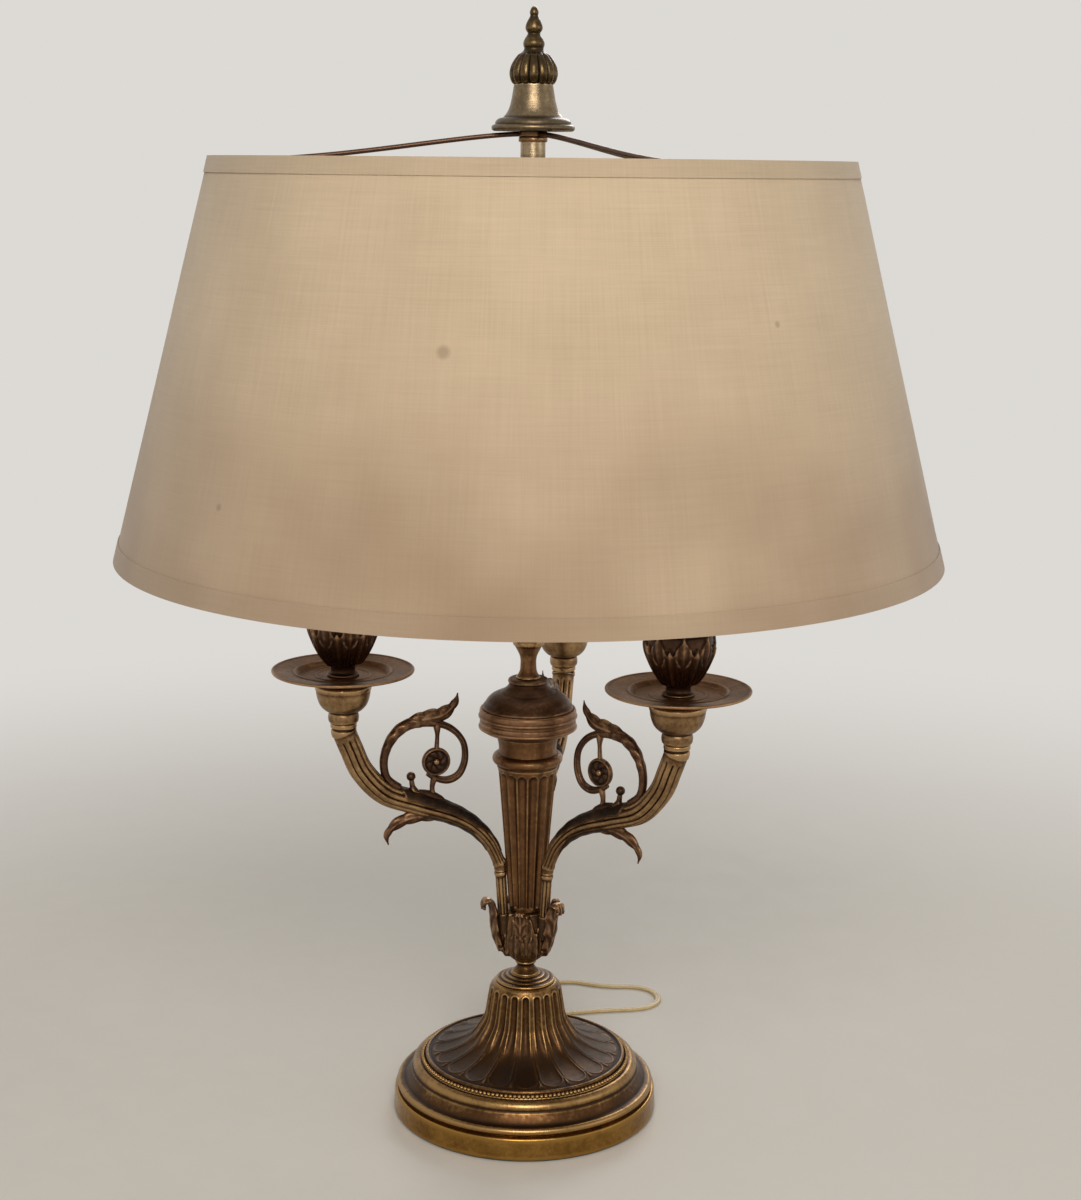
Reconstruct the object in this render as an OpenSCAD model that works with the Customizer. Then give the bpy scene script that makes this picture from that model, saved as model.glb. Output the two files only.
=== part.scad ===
// Three-light bouillotte lamp: a round stepped foot, a fluted column on a small calyx, three reeded
// scroll arms with drip pans and candle fittings, and one wide drum shade carried on a central stem.
// Frame: Z is the lamp's axis, the table is at z = 0 and the cord leaves the foot towards +Y.

/* [Foot] */
// Thickness of the felt under the foot
pad_t = 1.2; // [0.8:0.1:3]
// How far the felt lies inside the edge of the foot
pad_inset = 2; // [1:0.5:4]
// Radius of the foot at the table
foot_r = 81; // [76:1:90]
// Height of the polished band round the foot
band_h = 13.3; // [12:0.1:18]
// Wall of the polished band
band_wall = 6; // [4:0.5:8]
// Height of the moulded plinth
plinth_h = 17.3; // [15:0.1:22]
// Wall of the plinth casting
plinth_wall = 3; // [2:0.5:4]
// Radius of the plinth's flat top
plinth_top_r = 66; // [65:0.5:68]
// Height of the lower round moulding on the plinth
torus_h = 4.5; // [3.5:0.1:5.5]
// Height of the upper round moulding on the plinth
ovolo_h = 4.8; // [4:0.1:5.5]
// Radius of the disc that carries the bell
disc_r = 61.7; // [58:0.1:62]
// Height of the disc's rim
disc_rim_h = 3.2; // [2.6:0.1:4]
// Radius of the section of the bead ring
bead_r = 1.2; // [0.8:0.1:1.5]
// Height of the disc and bell together
dome_h = 50; // [46:1:56]
// Radius of the bell at its shoulder
bell_r = 20.5; // [19.5:0.5:22]
// Wall of the dome casting
dome_wall = 3; // [2:0.5:3.5]
// Number of flutes round the bell
bell_flutes = 20; // [16:1:22]
// Radius of a flute on the bell
bell_flute_r = 1.7; // [1.2:0.1:1.9]
// Gap between the band and the iron weight inside the foot
weight_gap = 3; // [2:0.5:5]
// Thickness of the iron weight
weight_t = 4; // [3:0.5:5]
// Radius of the screws that hold the weight
screw_r = 2; // [1.5:0.25:2.5]

/* [Neck and calyx] */
// Radius of the collar on the bell
collar_r = 18; // [16:0.5:18.5]
// Height of the collar on the bell
collar_h = 5.2; // [4:0.1:7]
// Height of the slender neck
neck_h = 8; // [7:0.5:12]
// Radius of the neck at its waist
neck_r = 5.2; // [5:0.1:6.5]
// Radius of the threaded tube in the foot
tube_r = 4; // [3.5:0.1:4.2]
// Radius of the tube's bore
tube_bore_r = 2.6; // [2.4:0.1:2.8]
// Height of the calyx
calyx_h = 33; // [32:0.5:36]
// Greatest radius of the calyx
calyx_r = 16.2; // [15.5:0.1:18]
// Radius of the wiring space inside the calyx
cavity_r = 9.5; // [8.5:0.1:9.6]
// Height of the curled leaf tips above the rim of the calyx
leaf_rise = 8; // [6:0.5:11]
// Reach of the curled leaf tips from the axis
leaf_reach = 27; // [25:0.5:31]

/* [Column] */
// Height of the fluted shaft
shaft_h = 91; // [84:1:110]
// Radius of the shaft at its foot
shaft_low_r = 10.3; // [10.2:0.1:10.8]
// Radius of the shaft at its head
shaft_top_r = 17.8; // [16.5:0.1:18]
// Number of flutes round the shaft
shaft_flutes = 16; // [12:1:16]
// Radius of a flute on the shaft
shaft_flute_r = 1.5; // [1:0.1:1.8]
// Height of the ring and plain neck above the shaft
necking_h = 18.6; // [17:0.1:24]
// Radius of the ring above the shaft
ring_r = 21.2; // [20.5:0.1:23]
// Height of the cap's drum
drum_h = 17; // [15:0.5:22]
// Radius of the cap's drum
drum_r = 29.8; // [27:0.1:33]
// Height of the cap's dome
cap_dome_h = 18.6; // [17:0.1:22]
// Radius of the step under the cap's dome
cap_step_r = 25.4; // [23:0.1:26]
// Radius of the ring on top of the cap's dome
cap_ring_r = 9.9; // [9:0.1:11]
// Height of the small baluster under the stem
spool_h = 26; // [23:0.5:32]
// Radius of the baluster at its waist
spool_r = 4.8; // [4.6:0.1:6]
// Length of the plain stem
stem_h = 286.4; // [270:0.1:310]
// Radius of the plain stem
stem_r = 7.1; // [6.5:0.1:7.6]
// Radius of the threaded rod through column and stem
rod_r = 3; // [2.5:0.1:3.2]
// Height of the collar that carries the spider
stem_collar_h = 3; // [2:0.1:5]
// Radius of the collar that carries the spider
stem_collar_r = 8.1; // [7.9:0.1:9]

/* [Arms] */
// Angle of the left arm round the axis
arm_turn = 197.5; // [180:0.5:210]
// Distance of the drip pans from the axis
arm_reach = 113; // [105:1:122]
// Height of the arm from its collar to its upper end
arm_rise = 99; // [92:1:106]
// Distance of the arm's foot from the axis
stem_foot_r = 13.8; // [13.6:0.1:14.2]
// Distance of the arm's collar from the axis
joint_r = 16.7; // [16.5:0.1:18]
// Height of the arm's collar above the neck
joint_rise = 60; // [56:1:64]
// Radius of the arm's straight foot
stalk_r = 3.2; // [3:0.1:3.4]
// Radius of the arm at its collar
arm_low_r = 3.8; // [3.6:0.1:4.4]
// Radius of the arm at its upper end
arm_top_r = 7; // [6.5:0.1:7.5]
// Radius of the wireway through the arm
wireway_r = 2; // [1.8:0.1:2.2]
// Radius of the wires in the arms
wire_r = 1.3; // [1:0.1:1.4]
// Thickness of the rods of the scrolls
scroll_rod = 5; // [4:0.2:6]
// Radius of the rosettes
rosette_r = 8.6; // [7.5:0.1:9.5]

/* [Candle fittings] */
// Height of the cup under each drip pan
pan_cup_h = 27; // [24:0.5:30]
// Radius of the cup under each drip pan
pan_cup_r = 15.8; // [14.5:0.1:17.5]
// Radius of the drip pans
pan_r = 41.4; // [38:0.1:46]
// Thickness of the drip pans
pan_t = 1.6; // [1.2:0.1:2.4]
// Height of a drip pan's rim above its middle
pan_dish = 3.6; // [3:0.1:5]
// Height of the candle cups
candle_cup_h = 40; // [37:1:46]
// Greatest radius of the candle cups
candle_cup_r = 20.3; // [18.5:0.1:22]
// Height of the candle tubes above the floor of their cups
sleeve_h = 98; // [90:1:110]
// Radius of the candle tubes
sleeve_r = 12; // [11.8:0.1:13]
// Wall of the candle tubes
sleeve_wall = 0.9; // [0.6:0.1:1]
// Radius of the threaded nipple through each pan
nipple_r = 4; // [3.8:0.1:4.5]
// Radius of the bulb caps
bulb_cap_r = 6.9; // [6.5:0.1:7.2]
// Radius of the bulbs
bulb_r = 17.5; // [15:0.5:19]
// Length of the bulb globes
bulb_h = 78; // [70:1:86]

/* [Shade] */
// Radius of the shade at the bottom
shade_low_r = 241; // [225:1:250]
// Radius of the shade at the top
shade_top_r = 183; // [170:1:190]
// Height of the shade
shade_h = 226.4; // [215:0.1:240]
// How far the shade's top lies below the spider's hub
shade_drop = 12.2; // [10:0.1:16]
// Thickness of the laminated shade
shade_t = 1.2; // [0.8:0.1:2]
// Height of the tape round the top
top_trim_h = 9; // [6:0.5:12]
// Height of the tape round the bottom
bottom_trim_h = 11; // [8:0.5:14]
// Thickness of the tape
trim_t = 0.6; // [0.4:0.1:1]
// Radius of the section of the wire rings
ring_wire_r = 1.6; // [1.2:0.1:2]
// Radius of the spider's wires
spider_wire_r = 1.4; // [1.1:0.1:1.5]
// Height of the spider's hub
hub_h = 3; // [2.6:0.1:4]
// Radius of the spider's hub
hub_r = 8; // [7.5:0.1:9]
// Angle of the first spider wire
spider_turn = 177; // [160:1:200]

/* [Finial] */
// Height of the finial's bell
finial_bell_h = 26.2; // [24:0.1:32]
// Radius of the finial's flange
flange_r = 23.7; // [22:0.1:26]
// Radius of the bell at its top
finial_neck_r = 11; // [10:0.1:11.4]
// Height of the finial's knob
knob_h = 42.2; // [38:0.1:48]
// Radius of the finial's knob
knob_r = 13; // [12.6:0.1:15]
// Number of flutes round the knob
knob_flutes = 12; // [8:1:16]

/* [Cord] */
// Width of the flat cord
cord_w = 4.4; // [4:0.1:5]
// Thickness of the flat cord
cord_t = 2.3; // [2:0.1:2.5]
// Height of the cord's hole above the table
cord_hole_z = 6; // [5.5:0.1:7]
// Length of the switch on the cord
switch_l = 47; // [44:1:47]
// Width of the switch on the cord
switch_w = 19; // [17:0.5:20]
// Height of the switch's lower shell
switch_base_h = 6.5; // [6:0.1:7]
// Height of the switch's cover
switch_cover_h = 5.5; // [5:0.1:6.5]
// Swing of the switch's rocker
rocker_swing = 20; // [12:1:22]
// Width of the plug's body
plug_w = 24; // [22:0.5:25]
// Length of the plug's body
plug_l = 28; // [26:1:30]
// Thickness of the plug's body
plug_t = 12; // [11:0.5:14]
// Length of the plug's blades
blade_l = 16; // [14:1:18]

/* [Hidden] */
$fn = 64;

bronze = [0.42, 0.31, 0.19];
dark_bronze = [0.31, 0.22, 0.14];
polished = [0.72, 0.56, 0.30];
steel = [0.55, 0.55, 0.56];
linen = [0.82, 0.74, 0.62];
gold_cord = [0.78, 0.64, 0.36];
ivory = [0.90, 0.86, 0.76];
brown = [0.28, 0.18, 0.10];

// Clearance of a shaft that turns in its hole, and of a piece that is slipped over another
run = 0.06;
slip = 0.1;
// Gap between curved faces that only lie near each other
near_gap = 0.3;
arms = [0, 120, 240];

// Heights of the joints between the stacked pieces
z_band = pad_t;
z_plinth = z_band + band_h;
z_disc = z_plinth + plinth_h;
z_collar = z_disc + dome_h;
z_neck = z_collar + collar_h;
z_calyx = z_neck + neck_h;
z_shaft = z_calyx + calyx_h;
z_necking = z_shaft + shaft_h;
z_drum = z_necking + necking_h;
z_cap_dome = z_drum + drum_h;
z_spool = z_cap_dome + cap_dome_h;
z_stem = z_spool + spool_h;
z_stem_collar = z_stem + stem_h;
z_hub = z_stem_collar + stem_collar_h;
z_finial = z_hub + hub_h;
z_knob = z_finial + finial_bell_h;
z_tip = z_knob + knob_h;

// Points of an arc round [x, y], from angle a0 to a1
function arc(x, y, r, a0, a1, n = 5) =
  [for (i = [0:n]) let (a = a0 + (a1 - a0)*i/n) [x + r*cos(a), y + r*sin(a)]];

// Catmull-Rom curve through hand-chosen points, with n steps from each point to the next
function between(a, b, c, d, t) =
  0.5*((2*b) + (c - a)*t + (2*a - 5*b + 4*c - d)*t*t + (3*b - a - 3*c + d)*t*t*t);
function curve(p, n) = concat(
  [for (i = [0:len(p) - 2], k = [0:n - 1])
    between(p[max(i - 1, 0)], p[i], p[i + 1], p[min(i + 2, len(p) - 1)], k/n)],
  [p[len(p) - 1]]);

function unit(v) = v/norm(v);
function heading(p, i) = unit(p[min(i + 1, len(p) - 1)] - p[max(i - 1, 0)]);

// Skin through one section per point of a path; ref is the direction that the sections are set by
module sweep(path, sections, ref) {
  n = len(sections[0]);
  m = len(path);
  sides = [for (i = [0:m - 1]) unit(cross(ref, heading(path, i)))];
  ups = [for (i = [0:m - 1]) cross(heading(path, i), sides[i])];
  points = [for (i = [0:m - 1], j = [0:n - 1])
    path[i] + sides[i]*sections[i][j][0] + ups[i]*sections[i][j][1]];
  skin = [for (i = [0:m - 2], j = [0:n - 1], k = [0:1])
    let (a = i*n + j, b = i*n + (j + 1)%n)
    k == 0 ? [a, a + n, b] : [b, a + n, b + n]];
  caps = [[for (j = [0:n - 1]) j], [for (j = [0:n - 1]) (m - 1)*n + n - 1 - j]];
  polyhedron(points = points, faces = concat(skin, caps), convexity = 8);
}

function oval(w, h, n) = [for (j = [0:n - 1]) [w/2*cos(360*j/n), h/2*sin(360*j/n)]];

// The three arms stand at equal angles; index 0 is the left arm
module at_arm(i) {
  rotate([0, 0, arm_turn + arms[i]])
    children();
}

module at_each_arm() {
  for (i = [0:2])
    at_arm(i)
      children();
}

// ---- Foot ----

module felt_pad() {
  color([0.16, 0.20, 0.16])
    cylinder(r = foot_r - pad_inset, h = pad_t);
}

band_draft = 0.7;
band_chamfer = 0.6;
bushing_r = 3.4;
bushing_head_r = 4.6;
bushing_head_t = 1.2;
// The cord leaves the foot at this angle to the left of straight behind
cord_turn = 16;

// From a point on the cord hole's axis, with Z along the cord's way out
module at_cord_hole(from) {
  rotate([0, 0, cord_turn])
    translate([0, from, cord_hole_z])
      rotate([-90, 0, 0])
        children();
}

module foot_band() {
  color(polished)
    difference() {
      rotate_extrude($fn = 128)
        polygon([[foot_r - band_wall, z_band], [foot_r - band_chamfer, z_band],
          [foot_r, z_band + band_chamfer],
          [foot_r - band_draft, z_plinth - band_chamfer], [foot_r - band_draft - band_chamfer, z_plinth],
          [foot_r - band_wall, z_plinth]]);
      at_cord_hole(foot_r - 2*band_wall)
        cylinder(r = bushing_r + slip, h = 4*band_wall);
    }
}

groove = 3.4;
cavetto_in = 6.8;
ovolo_out = 3.2;
flange_t = 4;
// The weight is screwed up under the plinth's flange
weight_r = foot_r - band_wall - weight_gap;
flange_r_in = weight_r - 9;
screw_circle = weight_r - 5;

module foot_plinth() {
  torus_c = z_plinth + 0.8 + torus_h/2;
  ovolo_c = z_disc - ovolo_h;
  cove_r = plinth_top_r + ovolo_out - 0.4;
  cove_z = ovolo_c - 1.2;
  color(bronze)
    difference() {
      rotate_extrude($fn = 128)
        polygon(concat(
          [[flange_r_in, z_plinth], [foot_r - groove, z_plinth], [foot_r - groove, z_plinth + 0.8]],
          arc(foot_r - groove - torus_h/2 + 1.4, torus_c, torus_h/2, -80, 80, 6),
          [[foot_r - cavetto_in, torus_c + torus_h/2 + 0.3],
            [(foot_r - cavetto_in + cove_r)/2 - 1.1, (torus_c + torus_h/2 + cove_z)/2 - 0.8],
            [cove_r, cove_z], [plinth_top_r + ovolo_out, ovolo_c - 0.9]],
          arc(plinth_top_r, ovolo_c + 0.6, ovolo_out, 0, 80, 5),
          [[plinth_top_r, z_disc], [disc_r - 4, z_disc], [disc_r - 4, z_disc - plinth_wall],
            [plinth_top_r - plinth_wall, z_disc - plinth_wall],
            [flange_r_in, z_plinth + flange_t]]));
      at_each_arm()
        translate([screw_circle, 0, z_plinth - 1])
          cylinder(r = screw_r, h = flange_t);
    }
}

module bead_ring() {
  ring_c = disc_r + bead_r + slip;
  color(bronze)
    rotate_extrude($fn = 128)
      polygon(concat([[ring_c - bead_r, z_disc], [ring_c + bead_r, z_disc]],
        arc(ring_c, z_disc + bead_r, bead_r, 0, 180, 6)));
}

// The disc and bell are one casting: outer points from the rim inwards and up
function dome_points() = concat(
  [[disc_r, z_disc], [disc_r, z_disc + disc_rim_h - 0.8], [disc_r - 0.8, z_disc + disc_rim_h],
    [disc_r - 2.4, z_disc + disc_rim_h], [disc_r - 3.4, z_disc + disc_rim_h - 0.9]],
  let (foot = [disc_r - 5, z_disc + disc_rim_h], hip = [bell_r + 4.7, z_disc + 0.52*dome_h])
  [for (i = [0:5]) let (t = i/5)
    [foot[0] + (hip[0] - foot[0])*(1 - pow(1 - t, 1.7)), foot[1] + (hip[1] - foot[1])*pow(t, 2.3)]],
  [[bell_r + 2.8, z_disc + 0.7*dome_h], [bell_r + 1.6, z_disc + 0.86*dome_h],
    [bell_r, z_collar - 2], [bell_r - 2, z_collar]]);

module foot_dome() {
  outer = dome_points();
  top = outer[len(outer) - 1];
  flute_foot = bell_r + 5.4;
  flute_head = bell_r + 2.2;
  flute_z = z_disc + 0.5*dome_h;
  flute_h = 0.42*dome_h;
  inner = [for (i = [len(outer) - 2:-1:1]) [outer[i][0] - dome_wall, max(outer[i][1] - dome_wall, z_disc)]];
  color(bronze)
    difference() {
      rotate_extrude($fn = 128)
        polygon(concat(outer, [[tube_r + run, top[1]], [tube_r + run, top[1] - dome_wall]],
          [[inner[0][0], top[1] - dome_wall]], inner, [[disc_r - dome_wall, z_disc]]));
      for (i = [0:bell_flutes - 1])
        rotate([0, 0, 360*i/bell_flutes])
          translate([flute_foot, 0, flute_z])
            rotate([0, -atan((flute_foot - flute_head)/flute_h), 0])
              cylinder(r = bell_flute_r, h = flute_h, $fn = 16);
    }
}

// Iron disc screwed under the plinth, open in the middle for the wires
module weight_plate() {
  color([0.25, 0.25, 0.26])
    difference() {
      translate([0, 0, z_plinth - weight_t])
        cylinder(r = weight_r, h = weight_t, $fn = 128);
      translate([0, 0, z_plinth - weight_t - 1])
        cylinder(r = 4*tube_r, h = weight_t + 2);
      at_each_arm()
        translate([screw_circle, 0, z_plinth - weight_t - 1])
          cylinder(r = screw_r + slip, h = weight_t + 2);
    }
}

screw_head_h = 1.6;

module plate_screws() {
  color(steel)
    at_each_arm()
      translate([screw_circle, 0, z_plinth - weight_t]) {
        translate([0, 0, -screw_head_h])
          cylinder(r = 1.8*screw_r, h = screw_head_h);
        cylinder(r = screw_r - 0.02, h = weight_t + flange_t - 1.4);
      }
}

// ---- Neck and calyx ----

module dome_collar() {
  color(bronze)
    rotate_extrude($fn = 96)
      polygon(concat([[tube_r + run, z_collar], [collar_r - 1.2, z_collar]],
        arc(collar_r - 1, z_collar + 1.1, 1, -60, 80, 4),
        [[collar_r - 3.2, z_collar + 2.2], [collar_r - 4, z_collar + 0.62*collar_h],
          [collar_r - 7, z_collar + 0.8*collar_h], [neck_r + 4, z_neck], [tube_r + run, z_neck]]));
}

module neck_spool() {
  color(bronze)
    rotate_extrude($fn = 64)
      polygon([[tube_r + run, z_neck], [neck_r + 3.6, z_neck], [neck_r + 3.4, z_neck + 0.6],
        [neck_r + 1.6, z_neck + 0.25*neck_h], [neck_r + 0.2, z_neck + 0.42*neck_h],
        [neck_r, z_neck + 0.6*neck_h], [neck_r + 0.6, z_neck + 0.75*neck_h],
        [neck_r + 1.3, z_neck + 0.82*neck_h], [neck_r + 1.3, z_calyx], [tube_r + run, z_calyx]]);
}

calyx_floor = 6;
mouth_gap = 0.04;
spigot_h = 7;
passage_r = 2.2;
stem_drop = 16;
// The stalks lean outwards a little: their foot, head and lean
z_joint = z_calyx + joint_rise;
z_stalk = z_shaft - stem_drop;
stalk_lean = atan((joint_r - stem_foot_r)/(z_joint - z_stalk));
stalk_len = norm([joint_r - stem_foot_r, z_joint - z_stalk]);
boss_wall = 1.4;

module along_stalk() {
  translate([stem_foot_r, 0, z_stalk])
    rotate([0, stalk_lean, 0])
      children();
}

module calyx() {
  rim_r = calyx_r - 1.4;
  color(bronze)
    difference() {
      union() {
        rotate_extrude($fn = 96)
          polygon([[tube_r + run, z_calyx], [neck_r + 1.6, z_calyx], [0.6*calyx_r, z_calyx + 0.08*calyx_h],
            [0.83*calyx_r, z_calyx + 0.17*calyx_h], [0.94*calyx_r, z_calyx + 0.27*calyx_h],
            [calyx_r, z_calyx + 0.4*calyx_h], [calyx_r, z_calyx + 0.5*calyx_h],
            [calyx_r - 0.7, z_calyx + 0.7*calyx_h], [rim_r, z_shaft], [cavity_r - 0.1 + mouth_gap, z_shaft],
            [cavity_r - 0.1 + mouth_gap, z_shaft - spigot_h], [cavity_r, z_shaft - spigot_h],
            [cavity_r, z_calyx + calyx_floor + 2], [tube_r + 2, z_calyx + calyx_floor],
            [tube_r + run, z_calyx + calyx_floor]]);
        at_each_arm()
          along_stalk()
            translate([0, 0, 1])
              cylinder(r = stalk_r + boss_wall, h = stem_drop - 2, $fn = 32);
      }
      at_each_arm()
        along_stalk() {
          cylinder(r = stalk_r + run, h = stalk_len, $fn = 32);
          rotate([0, 180 + 45, 0])
            cylinder(r = passage_r, h = stem_foot_r - cavity_r + 5.5, $fn = 24);
        }
      translate([0, 0, z_shaft - spigot_h])
        cylinder(r = cavity_r - 0.1 + mouth_gap, h = spigot_h + 1, $fn = 96);
    }
}

// One broad leaf folds outwards at the foot of each arm
module calyx_leaves() {
  tip_z = z_shaft + leaf_rise;
  base_r = stem_foot_r + stalk_r + boss_wall;
  stem = [[base_r + 0.6, z_shaft - stem_drop + 2], [base_r + 1.4, z_shaft - 6], [base_r + 2.2, z_shaft + 1],
    [(base_r + leaf_reach)/2 + 1, tip_z], [leaf_reach - 1.2, tip_z - 1.4], [leaf_reach, tip_z - 5]];
  line = curve(stem, 2);
  last = len(line) - 1;
  color(dark_bronze)
    at_each_arm()
      sweep([for (p = line) [p[0], 0, p[1]]],
        [for (i = [0:last]) let (t = i/last) oval(2.6 - 1.2*t, 3 + 7*sin(30 + 140*t), 8)],
        [0, 1, 0]);
}

module hex_nut(r, bore, h) {
  difference() {
    cylinder(r = r, h = h, $fn = 6);
    translate([0, 0, -1])
      cylinder(r = bore, h = h + 2, $fn = 32);
  }
}

nut_h = 4;
rod_tail = 7;

module clamp_nuts() {
  color(steel) {
    translate([0, 0, z_collar - dome_wall - nut_h])
      hex_nut(2*tube_r, tube_r + 0.02, nut_h);
    translate([0, 0, z_shaft - spigot_h - nut_h])
      hex_nut(2*rod_r, rod_r + 0.02, nut_h);
  }
}

module foot_tube() {
  low = z_collar - dome_wall - nut_h - 4;
  color(steel)
    translate([0, 0, low])
      difference() {
        cylinder(r = tube_r, h = z_calyx + calyx_floor - low, $fn = 32);
        translate([0, 0, -1])
          cylinder(r = tube_bore_r, h = dome_h + calyx_h, $fn = 32);
      }
}

// Bushing in the band with a tapered tail that keeps the cord from kinking
relief_tail = 14;
tail_foot_r = 3.9;
tail_wall = 0.6;

module cord_bushing() {
  grip = band_wall + 3;
  cord_way = cord_w/2 + slip;
  color(brown)
    at_cord_hole(foot_r - grip)
      difference() {
        union() {
          cylinder(r = bushing_r, h = grip, $fn = 32);
          translate([0, 0, grip])
            cylinder(r = bushing_head_r, h = bushing_head_t, $fn = 32);
          translate([0, 0, grip + bushing_head_t])
            cylinder(r1 = tail_foot_r, r2 = cord_way + tail_wall, h = relief_tail, $fn = 32);
        }
        translate([0, 0, -1])
          cylinder(r = cord_way, h = grip + bushing_head_t + relief_tail + 2, $fn = 32);
      }
}

// ---- Column ----

module column_shaft() {
  fillet_h = 4;
  slope = atan((shaft_top_r - shaft_low_r)/shaft_h);
  color(bronze)
    difference() {
      rotate_extrude($fn = 96)
        polygon([[rod_r + run, z_shaft - spigot_h], [cavity_r - 0.1, z_shaft - spigot_h],
          [cavity_r - 0.1, z_shaft], [shaft_low_r, z_shaft], [shaft_top_r - 0.5, z_necking - fillet_h],
          [shaft_top_r + 0.7, z_necking - 0.25*fillet_h], [shaft_top_r + 0.7, z_necking],
          [rod_r + 5, z_necking], [rod_r + 3, z_shaft + 10], [rod_r + run, z_shaft + 10]]);
      for (i = [0:shaft_flutes - 1])
        rotate([0, 0, 360*(i + 0.5)/shaft_flutes])
          translate([shaft_low_r + 0.5*shaft_flute_r, 0, z_shaft + 2])
            rotate([0, slope, 0])
              cylinder(r = shaft_flute_r, h = shaft_h - fillet_h - 4, $fn = 16);
    }
}

module column_necking() {
  ring_h = 6.4;
  ring_c = z_necking + 1.4 + ring_h/2;
  color(bronze)
    rotate_extrude($fn = 96)
      polygon(concat([[rod_r + run, z_necking], [shaft_top_r, z_necking], [shaft_top_r, z_necking + 1.4]],
        arc(ring_r - ring_h/2, ring_c, ring_h/2, -75, 75, 6),
        [[shaft_top_r - 0.3, ring_c + ring_h/2 + 0.3], [shaft_top_r + 0.3, z_drum - 4],
          [shaft_top_r + 1, z_drum - 0.8], [shaft_top_r + 1.1, z_drum], [rod_r + run, z_drum]]));
}

module cap_drum() {
  color(bronze)
    rotate_extrude($fn = 96)
      polygon([[rod_r + run, z_drum], [shaft_top_r + 1.3, z_drum], [drum_r - 6, z_drum + 0.1*drum_h],
        [drum_r - 2.6, z_drum + 0.2*drum_h], [drum_r - 0.6, z_drum + 0.3*drum_h],
        [drum_r, z_drum + 0.38*drum_h], [drum_r - 0.5, z_drum + 0.56*drum_h],
        [drum_r - 1.4, z_drum + 0.6*drum_h], [drum_r - 1.4, z_drum + 0.68*drum_h],
        [drum_r - 0.2, z_drum + 0.74*drum_h], [drum_r, z_drum + 0.9*drum_h], [drum_r - 0.9, z_cap_dome],
        [rod_r + run, z_cap_dome]]);
}

module cap_dome() {
  shoulder = z_cap_dome + 0.3*cap_dome_h;
  color(dark_bronze)
    rotate_extrude($fn = 96)
      polygon(concat([[rod_r + run, z_cap_dome], [drum_r - 2.6, z_cap_dome],
        [drum_r - 3, z_cap_dome + 0.1*cap_dome_h], [cap_step_r, z_cap_dome + 0.14*cap_dome_h],
        [cap_step_r - 0.6, shoulder - 1]],
        [for (i = [0:5]) let (t = i/5)
          [cap_step_r - 2 - (cap_step_r - cap_ring_r - 3)*pow(t, 0.7),
            shoulder + (0.56*cap_dome_h)*pow(t, 1.15)]],
        arc(cap_ring_r - 1.2, z_spool - 1.3, 1.2, -60, 80, 4),
        [[rod_r + run, z_spool]]));
}

module stem_spool() {
  color(bronze)
    rotate_extrude($fn = 64)
      polygon([[rod_r + run, z_spool], [spool_r + 2.6, z_spool], [spool_r + 1.2, z_spool + 0.08*spool_h],
        [spool_r + 0.2, z_spool + 0.18*spool_h], [spool_r, z_spool + 0.34*spool_h],
        [spool_r + 0.3, z_spool + 0.5*spool_h], [spool_r + 1.8, z_spool + 0.64*spool_h],
        [spool_r + 3.8, z_spool + 0.76*spool_h], [stem_r + 2.4, z_spool + 0.84*spool_h],
        [stem_r + 2.4, z_spool + 0.92*spool_h], [stem_r + 1, z_stem], [rod_r + run, z_stem]]);
}

rod_head = 20;

module centre_rod() {
  low = z_shaft - spigot_h - rod_tail;
  color(steel)
    translate([0, 0, low])
      cylinder(r = rod_r, h = z_finial + rod_head - low, $fn = 32);
}

module stem_tube() {
  color(bronze)
    translate([0, 0, z_stem])
      difference() {
        cylinder(r = stem_r, h = stem_h);
        translate([0, 0, -1])
          cylinder(r = rod_r + run, h = stem_h + 2, $fn = 32);
      }
}

module stem_collar() {
  color(dark_bronze)
    translate([0, 0, z_stem_collar])
      difference() {
        cylinder(r = stem_collar_r, h = stem_collar_h);
        translate([0, 0, -1])
          cylinder(r = rod_r + run, h = stem_collar_h + 2, $fn = 32);
      }
}

// ---- Arms ----

z_arm = z_joint + arm_rise;
// The arm's S curve, as shares of its reach and rise beyond the collar
arm_shape = [[0.075, 0.18], [0.19, 0.3], [0.335, 0.385], [0.545, 0.465], [0.745, 0.545],
  [0.885, 0.69], [0.955, 0.84], [1, 0.95]];
arm_steps = 3;
// Length of the arm's straight start, in line with its stalk
arm_start = 3;
function on_arm(f) = [joint_r + (arm_reach - joint_r)*f[0], z_joint + arm_rise*f[1]];
function upright(p) = [p[0], 0, p[1]];
function arm_line() = concat([[joint_r, 0, z_joint]],
  [for (p = curve(concat([[joint_r + arm_start*tan(stalk_lean), z_joint + arm_start]],
    [for (f = arm_shape) on_arm(f)]), arm_steps)) upright(p)],
  [[arm_reach, 0, z_arm]]);
function swell(t) = t < 0.55 ? (1 - cos(180*t/0.55))/2 : 1;

module arm(i) {
  line = arm_line();
  last = len(line) - 1;
  color(bronze)
    at_arm(i)
      difference() {
        sweep(line, [for (k = [0:last]) let (r = arm_low_r + (arm_top_r - arm_low_r)*swell(k/last))
          [for (j = [0:15]) r*(j%2 == 0 ? 1 : 0.9)*[cos(22.5*j), sin(22.5*j)]]], [0, 1, 0]);
        sweep([for (k = [0:last]) line[k] + (k == 0 ? -0.5 : k == last ? 0.5 : 0)*heading(line, k)],
          [for (k = [0:last]) oval(2*wireway_r, 2*wireway_r, 8)], [0, 1, 0]);
        translate([arm_reach, 0, z_arm - nipple_grip])
          cylinder(r = nipple_r + run, h = nipple_grip + 1, $fn = 32);
      }
}

nipple_grip = 6;
stalk_ring_h = 4;
stalk_ring_r = 4.1;

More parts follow.
